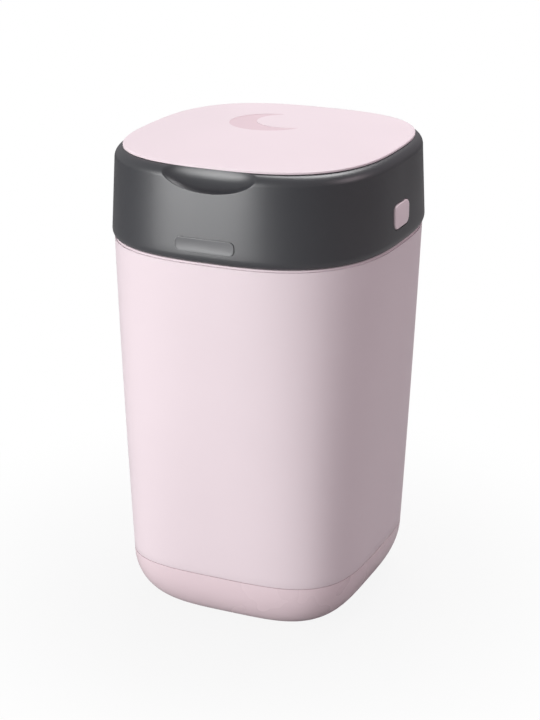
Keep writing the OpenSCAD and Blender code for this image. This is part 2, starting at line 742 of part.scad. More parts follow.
module cutter_blade() {
    color(steel) rotate([0, 0, -carriage_a / 4]) translate([0, 0, dial_z + 0.8])
        rotate_extrude(angle = carriage_a / 2)
        polygon([[rail_in - gap - 1.9, 0], [rail_in + 1.6, 0], [rail_in + 2.2, 0.8],
            [rail_in - gap - 1.9, 0.8]]);
}

// ---- Latches: a button, the slider with its hook, and a return spring ----
peg_r = 1.6;
peg_x = 7.2;
module at_latch(x) {
    translate([x, button_y, head_z + button_z]) rotate([90, 0, 90]) children();
}
module at_pegs() {
    for (s = [-1, 1]) translate([peg_x * s, 0, 0]) children();
}
module latch_button() {
    cap_t = face_x - flange_x;
    back = slider_x + slider_t;
    difference() {
        union() {
            at_latch(flange_x) {
                tile(button_w, button_h, 5, cap_t - 1);
                tile(button_w - 1.6, button_h - 1.6, 4.2, cap_t);
            }
            at_latch(flange_x - button_back)
                tile(button_w + button_rim, button_h + button_rim, 6, button_back + 0.1);
        }
        at_latch(flange_x - button_back - 1) tile(button_w - 4, button_h - 4, 4, cap_t + button_back - 1);
    }
    // Post behind the face, and the two pegs that snap through the slider
    at_latch(back) tile(20, 14, 2, face_x - back - 1);
    at_latch(slider_x - 0.8) at_pegs() cylinder(r = peg_r, h = slider_t + 2);
}

module latch_slider() {
    low = catch_z - 4.4;
    high = head_z + button_z + 9;
    difference() {
        union() {
            translate([slider_x, button_y - slider_w / 2, low]) cube([slider_t, slider_w, high - low]);
            translate([0, button_y + slider_w / 2 - 4, 0]) rotate([90, 0, 0])
                linear_extrude(slider_w - 8) polygon([
                    [slider_x + 1, low], [slider_x + slider_t, low - 3.6],
                    [hook_tip_x, catch_z - 3.4], [hook_tip_x, catch_z - 0.4],
                    [slider_x + 1, catch_z - 0.4]]);
            at_latch(slider_x - 3) cylinder(r = spring_r - spring_wire - 0.5, h = 4);
        }
        at_latch(slider_x - 1) at_pegs() cylinder(r = peg_r + 0.05, h = slider_t + 2);
    }
}
module latch_button_right() {
    color(pink) latch_button();
}
module latch_button_left() {
    color(pink) mirror([1, 0, 0]) latch_button();
}
module latch_slider_right() {
    color(white) latch_slider();
}
module latch_slider_left() {
    color(white) mirror([1, 0, 0]) latch_slider();
}

// Coil spring between the slider and its seat on the cassette well.
spring_r = 4;
spring_wire = 0.6;
spring_turns = 6;
module latch_spring() {
    length = slider_x - spring_seat_x;
    pitch = (length - 2 * spring_wire) / spring_turns;
    translate([spring_seat_x, button_y, head_z + button_z]) rotate([0, 90, 0])
        for (k = [0:spring_turns]) translate([0, 0, spring_wire + k * pitch])
            rotate_extrude() translate([spring_r, 0]) circle(r = spring_wire);
}
module latch_spring_right() {
    color(steel) latch_spring();
}
module latch_spring_left() {
    color(steel) mirror([1, 0, 0]) latch_spring();
}

tub();
base_pan();
head_hinge_pin();
head_collar();
badge_plate();
head_chassis();
chassis_screws();
funnel_deck();
click_springs();
jaw_ring();
jaw_screws();
lid_hinge_pin();
lid_shell();
lid_liner();
lid_seal();
twist_dial();
cassette_carrier();
cassette_tray();
film_pack();
cassette_cover();
cutter_carriage();
cutter_blade();
latch_button_right();
latch_slider_right();
latch_spring_right();
latch_button_left();
latch_slider_left();
latch_spring_left();
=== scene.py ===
import json
import math

import bmesh
import bpy
import numpy as np
from mathutils import Matrix, Quaternion, Vector

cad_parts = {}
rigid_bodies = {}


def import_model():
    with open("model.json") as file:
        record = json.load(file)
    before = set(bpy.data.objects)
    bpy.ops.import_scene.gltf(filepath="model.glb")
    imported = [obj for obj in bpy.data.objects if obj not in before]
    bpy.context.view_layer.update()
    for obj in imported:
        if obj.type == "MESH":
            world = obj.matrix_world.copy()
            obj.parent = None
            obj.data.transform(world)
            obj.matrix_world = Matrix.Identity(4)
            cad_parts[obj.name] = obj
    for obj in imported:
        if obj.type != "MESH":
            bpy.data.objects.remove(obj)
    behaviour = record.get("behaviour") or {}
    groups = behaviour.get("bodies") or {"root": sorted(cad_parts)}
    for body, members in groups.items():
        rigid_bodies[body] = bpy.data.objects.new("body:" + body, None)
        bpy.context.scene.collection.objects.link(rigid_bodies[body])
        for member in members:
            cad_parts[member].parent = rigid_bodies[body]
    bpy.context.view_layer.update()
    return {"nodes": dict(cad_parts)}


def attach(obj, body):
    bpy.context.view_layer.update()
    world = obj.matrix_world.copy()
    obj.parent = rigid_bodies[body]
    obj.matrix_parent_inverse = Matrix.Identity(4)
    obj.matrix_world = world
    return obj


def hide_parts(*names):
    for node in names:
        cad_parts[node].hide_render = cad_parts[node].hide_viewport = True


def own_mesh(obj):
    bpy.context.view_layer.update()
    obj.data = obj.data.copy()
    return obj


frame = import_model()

nodes = frame["nodes"]

# ---- Camera ----
# The bin is seen from the front and a little to its right, from above the
# lid, through a long lens.
camera_turn, camera_tilt, camera_roll = math.radians(23.87), math.radians(19.91), math.radians(0.136)
camera_aim, camera_far, camera_lens = Vector((0.0, 0.0, 0.2304)), 1.7652, 94.295
camera_back = Vector((math.sin(camera_turn) * math.cos(camera_tilt),
                      -math.cos(camera_turn) * math.cos(camera_tilt), math.sin(camera_tilt)))
camera = bpy.data.objects.new("camera", bpy.data.cameras.new("camera"))
bpy.context.scene.collection.objects.link(camera)
camera.location = camera_aim + camera_back * camera_far
camera.rotation_euler = ((-camera_back).to_track_quat("-Z", "Y")
                         @ Quaternion((0, 0, 1), camera_roll)).to_euler()
camera.data.sensor_fit = "VERTICAL"
camera.data.sensor_height, camera.data.lens = 36.0, camera_lens
camera.data.shift_x, camera.data.shift_y = -0.0006, -0.0073
camera.data.clip_start, camera.data.clip_end = 0.1, 20.0
bpy.context.scene.camera = camera


# ---- Tub ----
# A deep injection-moulded polypropylene tub in satin pink. It widens upwards
# from a nearly square foot to a soft rounded square, and it carries the outer
# knuckles of the rear hinge and the two ledges that the latches hook under.
MM = 0.001
depth_ratio = 1.048
head_square, base_square = 2.79, 3.8
head_a = 131.1
tub_top_a, tub_base_a, tub_wall = head_a - 1.9, head_a - 18.9, 2.6
tub_h, rim_h, rim_in = 357.0, 1.8, 1.6
pan_h, pan_round, pan_wall, tub_step, gap = 52.0, 43.0, 2.4, 2.65, 0.3
tub_top_z = tub_h - rim_h
even_turn = np.radians(np.arange(360))


def put(name, mesh):
    piece = bpy.data.objects.new(name, mesh)
    bpy.context.scene.collection.objects.link(piece)
    return piece


def tidy(piece):
    """Merges doubles, turns the faces outwards and shades smoothly, but for sharp edges."""
    bm = bmesh.new()
    bm.from_mesh(piece.data)
    bmesh.ops.remove_doubles(bm, verts=bm.verts, dist=1e-6)
    bmesh.ops.recalc_face_normals(bm, faces=bm.faces)
    bm.to_mesh(piece.data)
    bm.free()
    piece.data.shade_smooth()
    piece.data.set_sharp_from_angle(angle=math.radians(35.0))


def rounded_square(a, b, n, z, turn):
    """Points round |x/a|^n + |y/b|^n = 1 at height z, in millimetres."""
    reach = (np.abs(np.cos(turn) / a) ** n + np.abs(np.sin(turn) / b) ** n) ** (-1.0 / n)
    return np.stack([reach * np.cos(turn), reach * np.sin(turn), np.full(len(turn), float(z))], 1)


def skin(name, rows, hoop=False, turn=even_turn, bend=None):
    """A mesh through rounded-square rows (a, b, n, z), capped at both ends or closed into a hoop."""
    count = len(turn)
    rings = [rounded_square(*row, turn) for row in rows]
    if bend:
        rings = [bend(ring, j) for j, ring in enumerate(rings)]
    points = [tuple(p * MM) for ring in rings for p in ring]
    bands = len(rows) if hoop else len(rows) - 1
    faces = []
    for j in range(bands):
        low, high = j * count, (j + 1) % len(rows) * count
        for i in range(count):
            k = (i + 1) % count
            faces.append((low + i, low + k, high + k, high + i))
    if not hoop:
        for j in (0, len(rows) - 1):
            points.append((0.0, 0.0, rows[j][3] * MM))
            for i in range(count):
                faces.append((j * count + i, j * count + (i + 1) % count, len(points) - 1))
    mesh = bpy.data.meshes.new(name)
    mesh.from_pydata(points, [], faces)
    piece = put(name, mesh)
    tidy(piece)
    return piece


def prism(name, outline, low, high, place):
    """An extruded outline: place turns (u, v, height) into X, Y, Z in millimetres."""
    bm = bmesh.new()
    ends = [[bm.verts.new(Vector(place(u, v, h)) * MM) for u, v in outline] for h in (low, high)]
    bm.faces.new(ends[0])
    bm.faces.new(ends[1][::-1])
    for i in range(len(outline)):
        k = (i + 1) % len(outline)
        bm.faces.new((ends[0][i], ends[1][i], ends[1][k], ends[0][k]))
    bmesh.ops.recalc_face_normals(bm, faces=bm.faces)
    mesh = bpy.data.meshes.new(name)
    bm.to_mesh(mesh)
    bm.free()
    return put(name, mesh)


def bar(name, outline, width, x=0.0):
    """A bar of a Y-Z outline, centred on x."""
    return prism(name, outline, x - width / 2, x + width / 2, lambda u, v, h: (h, u, v))


def upwards(u, v, h):
    return (u, v, h)


def polar(r, angle, u=0.0, v=0.0):
    return (u + r * math.cos(angle), v + r * math.sin(angle))


def circle(r, u=0.0, v=0.0, sides=64):
    return [polar(r, 2 * math.pi * i / sides, u, v) for i in range(sides)]


def join(piece, others, operation="UNION"):
    """Adds the other pieces to this one, or cuts them out of it, and keeps the result as its mesh."""
    group = bpy.data.collections.new(piece.name + "_tools")
    for other in others:
        bpy.context.scene.collection.objects.unlink(other)
        group.objects.link(other)
    step = piece.modifiers.new("join", "BOOLEAN")
    step.operation, step.operand_type, step.solver = operation, "COLLECTION", "MANIFOLD"
    step.collection = group
    keep_result(piece)
    for other in list(group.objects):
        bpy.data.objects.remove(other)
    bpy.data.collections.remove(group)


def keep_result(piece):
    """Turns what a piece's modifiers make into its own plain mesh."""
    bpy.context.view_layer.update()
    shown = piece.evaluated_get(bpy.context.evaluated_depsgraph_get())
    result = bpy.data.meshes.new_from_object(shown)
    piece.modifiers.clear()
    piece.data = result


def finish_as(piece, material, body, *replaced):
    """Gives a finished piece its one material and its place on a body."""
    tidy(piece)
    piece.data.materials.clear()
    piece.data.materials.append(material)
    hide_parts(*replaced)
    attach(piece, body)


def feed(tree, node, **settings):
    """Sets a node: capitalised settings are its inputs, each a value or a link, others its options."""
    for name, value in settings.items():
        if not name[0].isupper():
            setattr(node, name, value)
            continue
        socket = node.inputs[name.replace("_", " ")]
        if isinstance(value, bpy.types.NodeSocket):
            tree.links.new(value, socket)
        else:
            socket.default_value = value
    return node


def add(tree, kind, **settings):
    return feed(tree, tree.nodes.new(kind), **settings)


def blank(name):
    """A new material with its tree and its shader."""
    material = bpy.data.materials.new(name)
    material.use_nodes = True
    return material, material.node_tree, material.node_tree.nodes["Principled BSDF"]


def tinted(tree, share, dark, pale):
    """A colour that goes from dark to pale with its share."""
    mix = add(tree, "ShaderNodeMix", data_type="RGBA", Factor=share, A=(*dark, 1), B=(*pale, 1))
    return mix.outputs["Result"]


def moulded(name, colour, rough, grain=0.05, grain_size=0.0006, drift=0.02, specular=0.5):
    """Moulded plastic: a fine even grain, faint flow marks and a slightly uneven gloss."""
    material, tree, shader = blank(name)
    place = add(tree, "ShaderNodeTexCoord").outputs["Object"]
    flow = add(tree, "ShaderNodeTexNoise", Vector=place, Scale=9.0, Detail=3.0, Roughness=0.45).outputs["Fac"]
    fine = add(tree, "ShaderNodeTexNoise", Vector=place, Scale=1.0 / grain_size, Detail=2.0).outputs["Fac"]
    polish = add(tree, "ShaderNodeMapRange", Value=flow, From_Min=0.3, From_Max=0.7,
                 To_Min=rough - 0.03, To_Max=rough + 0.03)
    bump = add(tree, "ShaderNodeBump", Strength=grain, Distance=0.0002, Height=fine)
    feed(tree, shader, Roughness=polish.outputs["Result"], Normal=bump.outputs["Normal"], IOR=1.49,
         Specular_IOR_Level=specular, Base_Color=tinted(
             tree, flow, [c * (1 - drift) for c in colour], [min(c * (1 + drift), 1) for c in colour]))
    return material


def tub_n(z):
    return base_square + (head_square - base_square) * (z - pan_h) / (tub_h - pan_h)


def tub_a(z):
    return tub_base_a + (tub_top_a - tub_base_a) * (z - pan_h) / (tub_top_z - pan_h)


def tub_row(z, inset=0.0):
    a = tub_a(min(z, tub_top_z))
    return (a - inset, a * depth_ratio - inset, tub_n(min(z, tub_h)), z)


def foot(g, inset, lift):
    """Row of the rounded foot at angle g, from 90 at the flat to 0 at the top."""
    c, s = math.cos(math.radians(g)), math.sin(math.radians(g))
    a = tub_base_a - pan_round + pan_round * c
    return (a - inset * c, a * depth_ratio - inset * c, base_square, pan_h - (pan_h - lift) * s)


def depth_at(a, x):
    return a * depth_ratio * (1 - (abs(x) / a) ** head_square) ** (1 / head_square)


inner_in = tub_wall * 1.4
tub = skin("tub_shell", (
    [foot(g, tub_step, pan_wall) for g in np.linspace(90, 0, 24)]
    + [tub_row(pan_h + gap, d) for d in (tub_step, 0.5)]
    + [tub_row(pan_h + gap + 0.15, 0.15)]
    + [tub_row(z) for z in np.linspace(pan_h + gap + 0.5, tub_top_z - 0.4, 40)]
    + [tub_row(tub_top_z, d) for d in (0.3, rim_in - 0.3)]
    + [tub_row(tub_top_z + 0.3, rim_in), tub_row(tub_h - 0.4, rim_in)]
    + [tub_row(tub_h, d) for d in (rim_in + 0.4, rim_in + tub_wall - 0.4)]
    + [tub_row(tub_h - 0.4, rim_in + tub_wall), tub_row(tub_top_z, rim_in + tub_wall)]
    + [tub_row(z, inner_in) for z in np.linspace(tub_top_z - 4, pan_h + 10, 12)]
    + [foot(g, tub_step + tub_wall, pan_wall + tub_wall) for g in np.linspace(0, 90, 16)]))

knuckle_r, knuckle_w, tub_knuckle_w, pin_hole_r = 5.5, 33.4, 14.0, 2.06
hinge_y, hinge_z = head_a * depth_ratio + knuckle_r - 0.5, tub_h
tub_knuckle_x = knuckle_w / 2 + gap + tub_knuckle_w / 2
gusset_low = depth_at(tub_a(tub_h - 31), tub_knuckle_x + tub_knuckle_w / 2)
gusset_high = depth_at(tub_a(tub_h - 10), tub_knuckle_x + tub_knuckle_w / 2)
ledge_x, ledge_y, ledge_z, ledge_w, ledge_t = 124.5, -21, 344, 22, 5
tub_parts = []
for side in (-1, 1):
    tub_parts.append(bar("gusset", [(gusset_low - 1.3, tub_h - 31), (gusset_low + 1, tub_h - 31),
                                    (hinge_y + knuckle_r * 0.8, hinge_z - knuckle_r * 0.6),
                                    (hinge_y, hinge_z), (hinge_y - knuckle_r + 0.05, hinge_z),
                                    (gusset_high - 1.3, tub_h - 10)],
                         tub_knuckle_w - 0.1, side * tub_knuckle_x))
    tub_parts.append(bar("knuckle", circle(knuckle_r, hinge_y, hinge_z), tub_knuckle_w,
                         side * tub_knuckle_x))
    tub_parts.append(bar("latch_ledge", [(ledge_y, ledge_z), (ledge_y + ledge_w, ledge_z),
                                         (ledge_y + ledge_w, ledge_z + ledge_t),
                                         (ledge_y, ledge_z + ledge_t)], 5.0, side * ledge_x))
join(tub, tub_parts)
pink_plastic = moulded("pink_plastic", (0.87, 0.75, 0.795), 0.4, grain=0.04, specular=0.3)
finish_as(tub, pink_plastic, "tub", "tub")


# ---- Base pan ----
# A shallow pan clipped over the foot of the tub, moulded in a slightly deeper
# and shinier pink. Its rounding rolls under to the flat that the bin stands on.
def reads(tree, inputs):
    """Names the inputs of a Geometry Nodes tree and returns the node that holds them."""
    for name, kind, value in inputs:
        socket = tree.interface.new_socket(name, in_out="INPUT", socket_type="NodeSocket" + kind)
        if value is not None:
            socket.default_value = value
    tree.interface.new_socket("Geometry", in_out="OUTPUT", socket_type="NodeSocketGeometry")
    return tree.nodes.new("NodeGroupInput").outputs


def math_in(tree):
    """A function that adds one math node to the tree and returns its output."""
    def work(operation, *values):
        node = tree.nodes.new("ShaderNodeMath")
        node.operation = operation
        for socket, value in zip(node.inputs, values):
            if isinstance(value, (int, float)):
                socket.default_value = value
            else:
                tree.links.new(value, socket)
        return node.outputs[0]
    return work


def end_tree(tree, geometry, material):
    """Ends a tree with real geometry and its material."""
    real = add(tree, "GeometryNodeRealizeInstances", Geometry=geometry)
    coat = add(tree, "GeometryNodeSetMaterial", Geometry=real.outputs[0], Material=material)
    tree.links.new(coat.outputs[0], tree.nodes.new("NodeGroupOutput").inputs[0])
    return tree


def grown(name, tree, values):
    """A plain mesh made by a Geometry Nodes tree with these input values."""
    piece = put(name, bpy.data.meshes.new(name))
    step = piece.modifiers.new("grow", "NODES")
    step.node_group = tree
    for item in tree.interface.items_tree:
        if item.in_out == "INPUT" and item.name in values:
            step[item.identifier] = values[item.name]
    keep_result(piece)
    return piece


def pan_tree():
    """A grid rolled into a pan, from the middle of its floor out, over the rim and in again."""
    tree = bpy.data.node_groups.new("rounded_pan", "GeometryNodeTree")
    value = reads(tree, [("Flat", "Float", 0.07), ("Rounding", "Float", 0.04), ("Height", "Float", 0.05),
                         ("Wall", "Float", 0.002), ("Squareness", "Float", 3.8),
                         ("Depth ratio", "Float", 1.0), ("Columns", "Int", 361), ("Rows", "Int", 66),
                         ("Material", "Material", None)])
    work = math_in(tree)
    sheet = add(tree, "GeometryNodeMeshGrid", Vertices_X=value["Columns"], Vertices_Y=value["Rows"])
    where = add(tree, "GeometryNodeInputPosition")
    part = add(tree, "ShaderNodeSeparateXYZ", Vector=where.outputs[0])
    turn = work("MULTIPLY", work("ADD", part.outputs["X"], 0.5), 2 * math.pi)
    # 1 at the middle of the floor, 0 at the rim, and 1 again at the middle inside
    along = work("ABSOLUTE", work("MULTIPLY", part.outputs["Y"], 2.0))
    rim = work("DIVIDE", 1.0, work("SUBTRACT", value["Rows"], 1.0))
    floor_share = 0.9
    climb = work("DIVIDE", work("SUBTRACT", along, rim), work("SUBTRACT", floor_share, rim))
    lean = work("MULTIPLY", work("MINIMUM", work("MAXIMUM", climb, 0.0), 1.0), math.pi / 2)
    spread = work("MINIMUM", work("DIVIDE", work("SUBTRACT", 1.0, along), 1 - floor_share), 1.0)
    wall = work("MULTIPLY", work("GREATER_THAN", part.outputs["Y"], 0.0), value["Wall"])
    out = work("COSINE", lean)
    inset = work("MULTIPLY", wall, out)
    half = work("ADD", value["Flat"], work("MULTIPLY", value["Rounding"], out))
    a = work("SUBTRACT", half, inset)
    b = work("SUBTRACT", work("MULTIPLY", half, value["Depth ratio"]), inset)
    z = work("SUBTRACT", value["Height"],
             work("MULTIPLY", work("SUBTRACT", value["Height"], wall), work("SINE", lean)))
    n = value["Squareness"]
    over = work("POWER", work("DIVIDE", work("ABSOLUTE", work("COSINE", turn)), a), n)
    up = work("POWER", work("DIVIDE", work("ABSOLUTE", work("SINE", turn)), b), n)
    reach = work("POWER", work("ADD", over, up), work("DIVIDE", -1.0, n))
    reach = work("MULTIPLY", reach, spread)
    spot = add(tree, "ShaderNodeCombineXYZ", X=work("MULTIPLY", reach, work("COSINE", turn)),
               Y=work("MULTIPLY", reach, work("SINE", turn)), Z=z)
    move = add(tree, "GeometryNodeSetPosition", Geometry=sheet.outputs["Mesh"], Position=spot.outputs[0])
    weld = add(tree, "GeometryNodeMergeByDistance", Geometry=move.outputs[0], Distance=1e-6)
    return end_tree(tree, weld.outputs[0], value["Material"])


pan_plastic = moulded("pan_plastic", (0.86, 0.70, 0.745), 0.26, grain=0.02)
pan = grown("base_pan_shell", pan_tree(), {
    "Flat": (tub_base_a - pan_round) * MM, "Rounding": pan_round * MM, "Height": pan_h * MM,
    "Wall": pan_wall * MM, "Squareness": base_square, "Depth ratio": depth_ratio,
    "Material": pan_plastic})
finish_as(pan, pan_plastic, "tub", "base_pan")


# ---- Head hinge pin ----
# A plain bright steel rod pushed through the three knuckles at the back; the
# two ends are held in the tub's knuckles and the head turns on it.
def metal(name, colour, rough, streak):
    """Drawn or rolled steel: fine streaks along one axis and small changes of polish."""
    material, tree, shader = blank(name)
    place = add(tree, "ShaderNodeTexCoord").outputs["Object"]
    stretch = add(tree, "ShaderNodeMapping", Vector=place, Scale=streak)
    lines = add(tree, "ShaderNodeTexNoise", Vector=stretch.outputs["Vector"], Scale=1.0,
                Detail=4.0).outputs["Fac"]
    polish = add(tree, "ShaderNodeMapRange", Value=lines, To_Min=rough - 0.08, To_Max=rough + 0.08)
    bump = add(tree, "ShaderNodeBump", Strength=0.15, Distance=0.0001, Height=lines)
    feed(tree, shader, Roughness=polish.outputs["Result"], Normal=bump.outputs["Normal"], Metallic=1.0,
         Base_Color=tinted(tree, lines, [c * 0.85 for c in colour], [min(c * 1.1, 1) for c in colour]))
    return material


def dress(node, material):
    for slot in nodes[node].material_slots:
        slot.material = material


steel = metal("steel", (0.62, 0.63, 0.65), 0.3, (120.0, 2500.0, 2500.0))
dress("head_hinge_pin", steel)


# ---- Head collar ----
# The dark grey head: one polypropylene moulding with a soft shoulder over a flange
# for the lid, a thumb scoop in the front, a window for each latch button, four
# screw bosses and the middle knuckle of the rear hinge.
head_z, head_top_z = 357.5, 438.1
ridge_z, tuck = head_z + 7, 4.0
shoulder_r, head_wall = 10.0, 2.8
head_top_a = head_a - 3.1
shoulder_z = head_top_z - shoulder_r
flange_w, flange_t = 12.0, 2.8
opening_in = shoulder_r + flange_w


def head_row(a, z, inset=0.0):
    return (a - inset, a * depth_ratio - inset, head_square, z)


def collar_a(z):
    return head_a + (head_top_a - head_a) * (z - ridge_z) / (shoulder_z - ridge_z)


def tuck_row(g, inset=0.0):
    c, s = math.cos(math.radians(g)), math.sin(math.radians(g))
    return head_row(head_a - tuck * (1 - c), ridge_z - (ridge_z - head_z) * s, inset)


def shoulder_row(g):
    c, s = math.cos(math.radians(g)), math.sin(math.radians(g))
    return head_row(head_top_a, shoulder_z + shoulder_r * s, shoulder_r * (1 - c))


scoop_half_w, scoop_depth, scoop_h, scoop_z = 44.5, 13.0, 17.8, 436.6
scoop_flat, scoop_soft, scoop_edge = 0.35, 0.05, 2.4


def hollowed(points, grow):
    """Lets points in the scoop's way back onto its bowl, with a small rounding at its edge."""
    x, y, z = points.T
    a = collar_a(np.minimum(z, shoulder_z))
    wall = -a * depth_ratio * (1 - np.minimum(np.abs(x / a), 1) ** head_square) ** (1 / head_square)
    share = 1 - (x / (scoop_half_w + grow)) ** 2 - ((z - scoop_z) / (scoop_h + grow)) ** 2
    start = scoop_soft ** scoop_flat
    bowl = np.where(share > 0, (np.maximum(share, 0) + scoop_soft) ** scoop_flat - start,
                    share * scoop_flat * start / scoop_soft)
    bowl = wall + bowl * (scoop_depth + grow) / ((1 + scoop_soft) ** scoop_flat - start)
    rounding = np.maximum(scoop_edge - np.abs(bowl - y), 0) ** 2 / (4 * scoop_edge)
    return np.stack([x, np.where(y < -60, np.maximum(y, bowl) + rounding, y), z], 1)


collar_outside = (
    [tuck_row(g) for g in np.linspace(90, 0, 14)]
    + [head_row(collar_a(z), z) for z in np.linspace(ridge_z + 6, 416, 9)]
    + [head_row(collar_a(z), z) for z in np.arange(417, shoulder_z, 0.3)]
    + [shoulder_row(g) for g in np.linspace(0, 90, 32)]
    + [head_row(head_top_a, head_top_z, d) for d in np.arange(10.5, 17, 0.5)]
    + [head_row(head_top_a, head_top_z, opening_in - 0.5)]
    + [head_row(head_top_a, head_top_z - 0.5, opening_in)])
under_z = head_top_z - flange_t
collar_inside = (
    [head_row(head_top_a, under_z, d) for d in (opening_in, 20.0)]
    + [head_row(head_top_a, under_z, d) for d in np.arange(18, 11, -0.5)]
    + [head_row(head_top_a, under_z - 1, 9.0), head_row(head_top_a, under_z - 2.7, 6.0)]
    + [head_row(head_top_a, shoulder_z + 2, 3.6)]
    + [head_row(collar_a(z), z, head_wall) for z in np.arange(shoulder_z - 1, 412, -1.2)]
    + [head_row(collar_a(z), z, head_wall) for z in np.linspace(408, ridge_z + 1.5, 6)]
    + [tuck_row(90, head_wall)])
fine_turn = np.radians(np.concatenate([np.arange(-112, -68, 0.125), np.arange(-68, 248, 2.0)]))
outer_rows = len(collar_outside)
collar = skin("head_collar_shell", collar_outside + collar_inside, hoop=True, turn=fine_turn,
              bend=lambda ring, j: hollowed(ring, 0 if j < outer_rows else head_wall))

lid_hinge_y, lid_hinge_z = head_top_a * depth_ratio - 4.6, head_top_z - 7
lid_knuckle_r, lid_arm_w = 4.2, 39.0
lid_pin_w = lid_arm_w + 26
plate_z, plate_t, screw_r, boss_h = head_z + 14.5, 3.0, 1.6, 22.0
boss_a = (collar_a(plate_z + boss_h) - head_wall - 3.5) * 0.5 ** (1 / head_square)


def upright(name, r, x, y, low, high, sides=48):
    return prism(name, circle(r, x, y, sides), low, high, upwards)


corners = [(sx * boss_a, sy * boss_a * depth_ratio) for sx in (-1, 1) for sy in (-1, 1)]
web_y = depth_at(collar_a(ridge_z + 6), knuckle_w / 2)
collar_parts = [upright("boss", 5.5, x, y, plate_z + plate_t, plate_z + plate_t + boss_h)
                for x, y in corners]
collar_parts.append(bar("web", [(web_y - 2, ridge_z + 4), (hinge_y - knuckle_r + 0.2, hinge_z + 1),
                                (hinge_y, hinge_z), (hinge_y + knuckle_r - 0.01, hinge_z),
                                (hinge_y + knuckle_r - 0.01, hinge_z + 6), (web_y + 0.5, ridge_z + 26),
                                (web_y - 2, ridge_z + 26)], knuckle_w - 0.05))
collar_parts.append(bar("knuckle", circle(knuckle_r, hinge_y, hinge_z), knuckle_w))
block_y = head_top_a * depth_ratio - 15.7
collar_parts.append(bar("hinge_block", [(block_y, lid_hinge_z - 7), (131.6, lid_hinge_z - 7),
                                        (131.2, 429.5), (127.5, 433.5), (124.3, 435.8),
                                        (block_y, 435.8)], lid_pin_w + 6))
join(collar, collar_parts)


def tile(w, h, r, steps=8):
    """Outline of a rounded rectangle."""
    return [polar(r, math.radians(q + 90 * s / steps), sx * (w / 2 - r), sy * (h / 2 - r))
            for sx, sy, q in ((1, 1, 0), (-1, 1, 90), (-1, -1, 180), (1, -1, 270))
            for s in range(steps + 1)]


button_y, button_z, button_w, button_h = -10.0, head_z + 26.7, 35.0, 22.0
badge_w, badge_h, badge_z = 56.0, 12.4, head_z + 15.6
badge_tilt = math.atan((head_a - head_top_a) * depth_ratio / (shoulder_z - ridge_z))
badge_spot = Vector((-1.5, -collar_a(badge_z) * depth_ratio, badge_z))
badge_turn = Matrix.Rotation(math.pi / 2 - badge_tilt, 3, "X")


def on_badge(u, v, h):
    return badge_spot + badge_turn @ Vector((u, v, h))


def sideways(side):
    return lambda u, v, h: (side * h, button_y + u, button_z + v)


notch_w = lid_arm_w + 2 * gap
collar_cuts = [prism("window", tile(button_w + 1.6, button_h + 1.6, 7.8), 112, 140, sideways(s))
               for s in (-1, 1)]
collar_cuts.append(prism("badge_seat", tile(badge_w + 0.3, badge_h + 0.3, 5.15), -1.3, 8, on_badge))
collar_cuts.append(bar("pin_hole", circle(pin_hole_r, hinge_y, hinge_z), 60))
collar_cuts.append(bar("notch", [(lid_hinge_y - 20, head_top_z - flange_t),
                                 (lid_hinge_y - 9, head_top_z - flange_t),
                                 (lid_hinge_y - 9, lid_hinge_z), (lid_hinge_y - 4.7, lid_hinge_z),
                                 (lid_hinge_y - 3.3, lid_hinge_z - 3.3), (lid_hinge_y, lid_hinge_z - 4.7),
                                 (lid_hinge_y + 3.3, lid_hinge_z - 3.3),
                                 (lid_hinge_y + 4.7, lid_hinge_z), (lid_hinge_y + 13, lid_hinge_z),
                                 (lid_hinge_y + 13, 450), (lid_hinge_y - 20, 450)], notch_w))
collar_cuts += [upright("screw_hole", screw_r, x, y, plate_z, plate_z + 18, 24) for x, y in corners]
join(collar, collar_cuts, "DIFFERENCE")
grey_plastic = moulded("grey_plastic", (0.036, 0.038, 0.044), 0.37, grain=0.10, drift=0.05, specular=1.0)
finish_as(collar, grey_plastic, "head", "head_collar")


# ---- Badge plate ----
# A blank satin plate of paler grey, heat-staked into a shallow seat in the
# front of the collar, with a fine raised rim round its edge.
def eased_edges(piece, width, segments=3, angle=40.0):
    step = piece.modifiers.new("edges", "BEVEL")
    step.width, step.segments = width * MM, segments
    step.limit_method, step.angle_limit = "ANGLE", math.radians(angle)
    step.harden_normals = False
    keep_result(piece)


badge = prism("badge", tile(badge_w, badge_h, 5.0, 12), -1.3, 0.5, on_badge)
join(badge, [prism("badge_field", tile(badge_w - 1.8, badge_h - 1.8, 4.1, 12), 0.28, 2, on_badge)],
     "DIFFERENCE")
eased_edges(badge, 0.15, 2)
plate_plastic = moulded("plate_plastic", (0.165, 0.168, 0.174), 0.36, grain=0.25, grain_size=0.0004,
                        drift=0.06)
finish_as(badge, plate_plastic, "head", "badge_plate")


# ---- Chassis, screws and click springs ----
# A white moulding screwed up into the collar's bosses. It closes the head from
# below, holds the cassette well and guides the latch sliders; two bent leaves
# of spring steel on its posts click along the dial.
white_plastic = moulded("white_plastic", (0.80, 0.80, 0.79), 0.34, grain=0.05)
dress("head_chassis", white_plastic)
dress("click_springs", steel)


def eased(profile, r, steps=4):
    """Rounds the corners of an outline, each by no more than its edges allow."""
    points = []
    for i, p in enumerate(profile):
        here = Vector(p)
        before, after = Vector(profile[i - 1]) - here, Vector(profile[(i + 1) % len(profile)]) - here
        cut = min(r, before.length * 0.45, after.length * 0.45)
        start, end = here + before.normalized() * cut, here + after.normalized() * cut
        for s in range(steps + 1):
            t = s / steps
            points.append(tuple(start * (1 - t) ** 2 + here * 2 * t * (1 - t) + end * t ** 2))
    return points


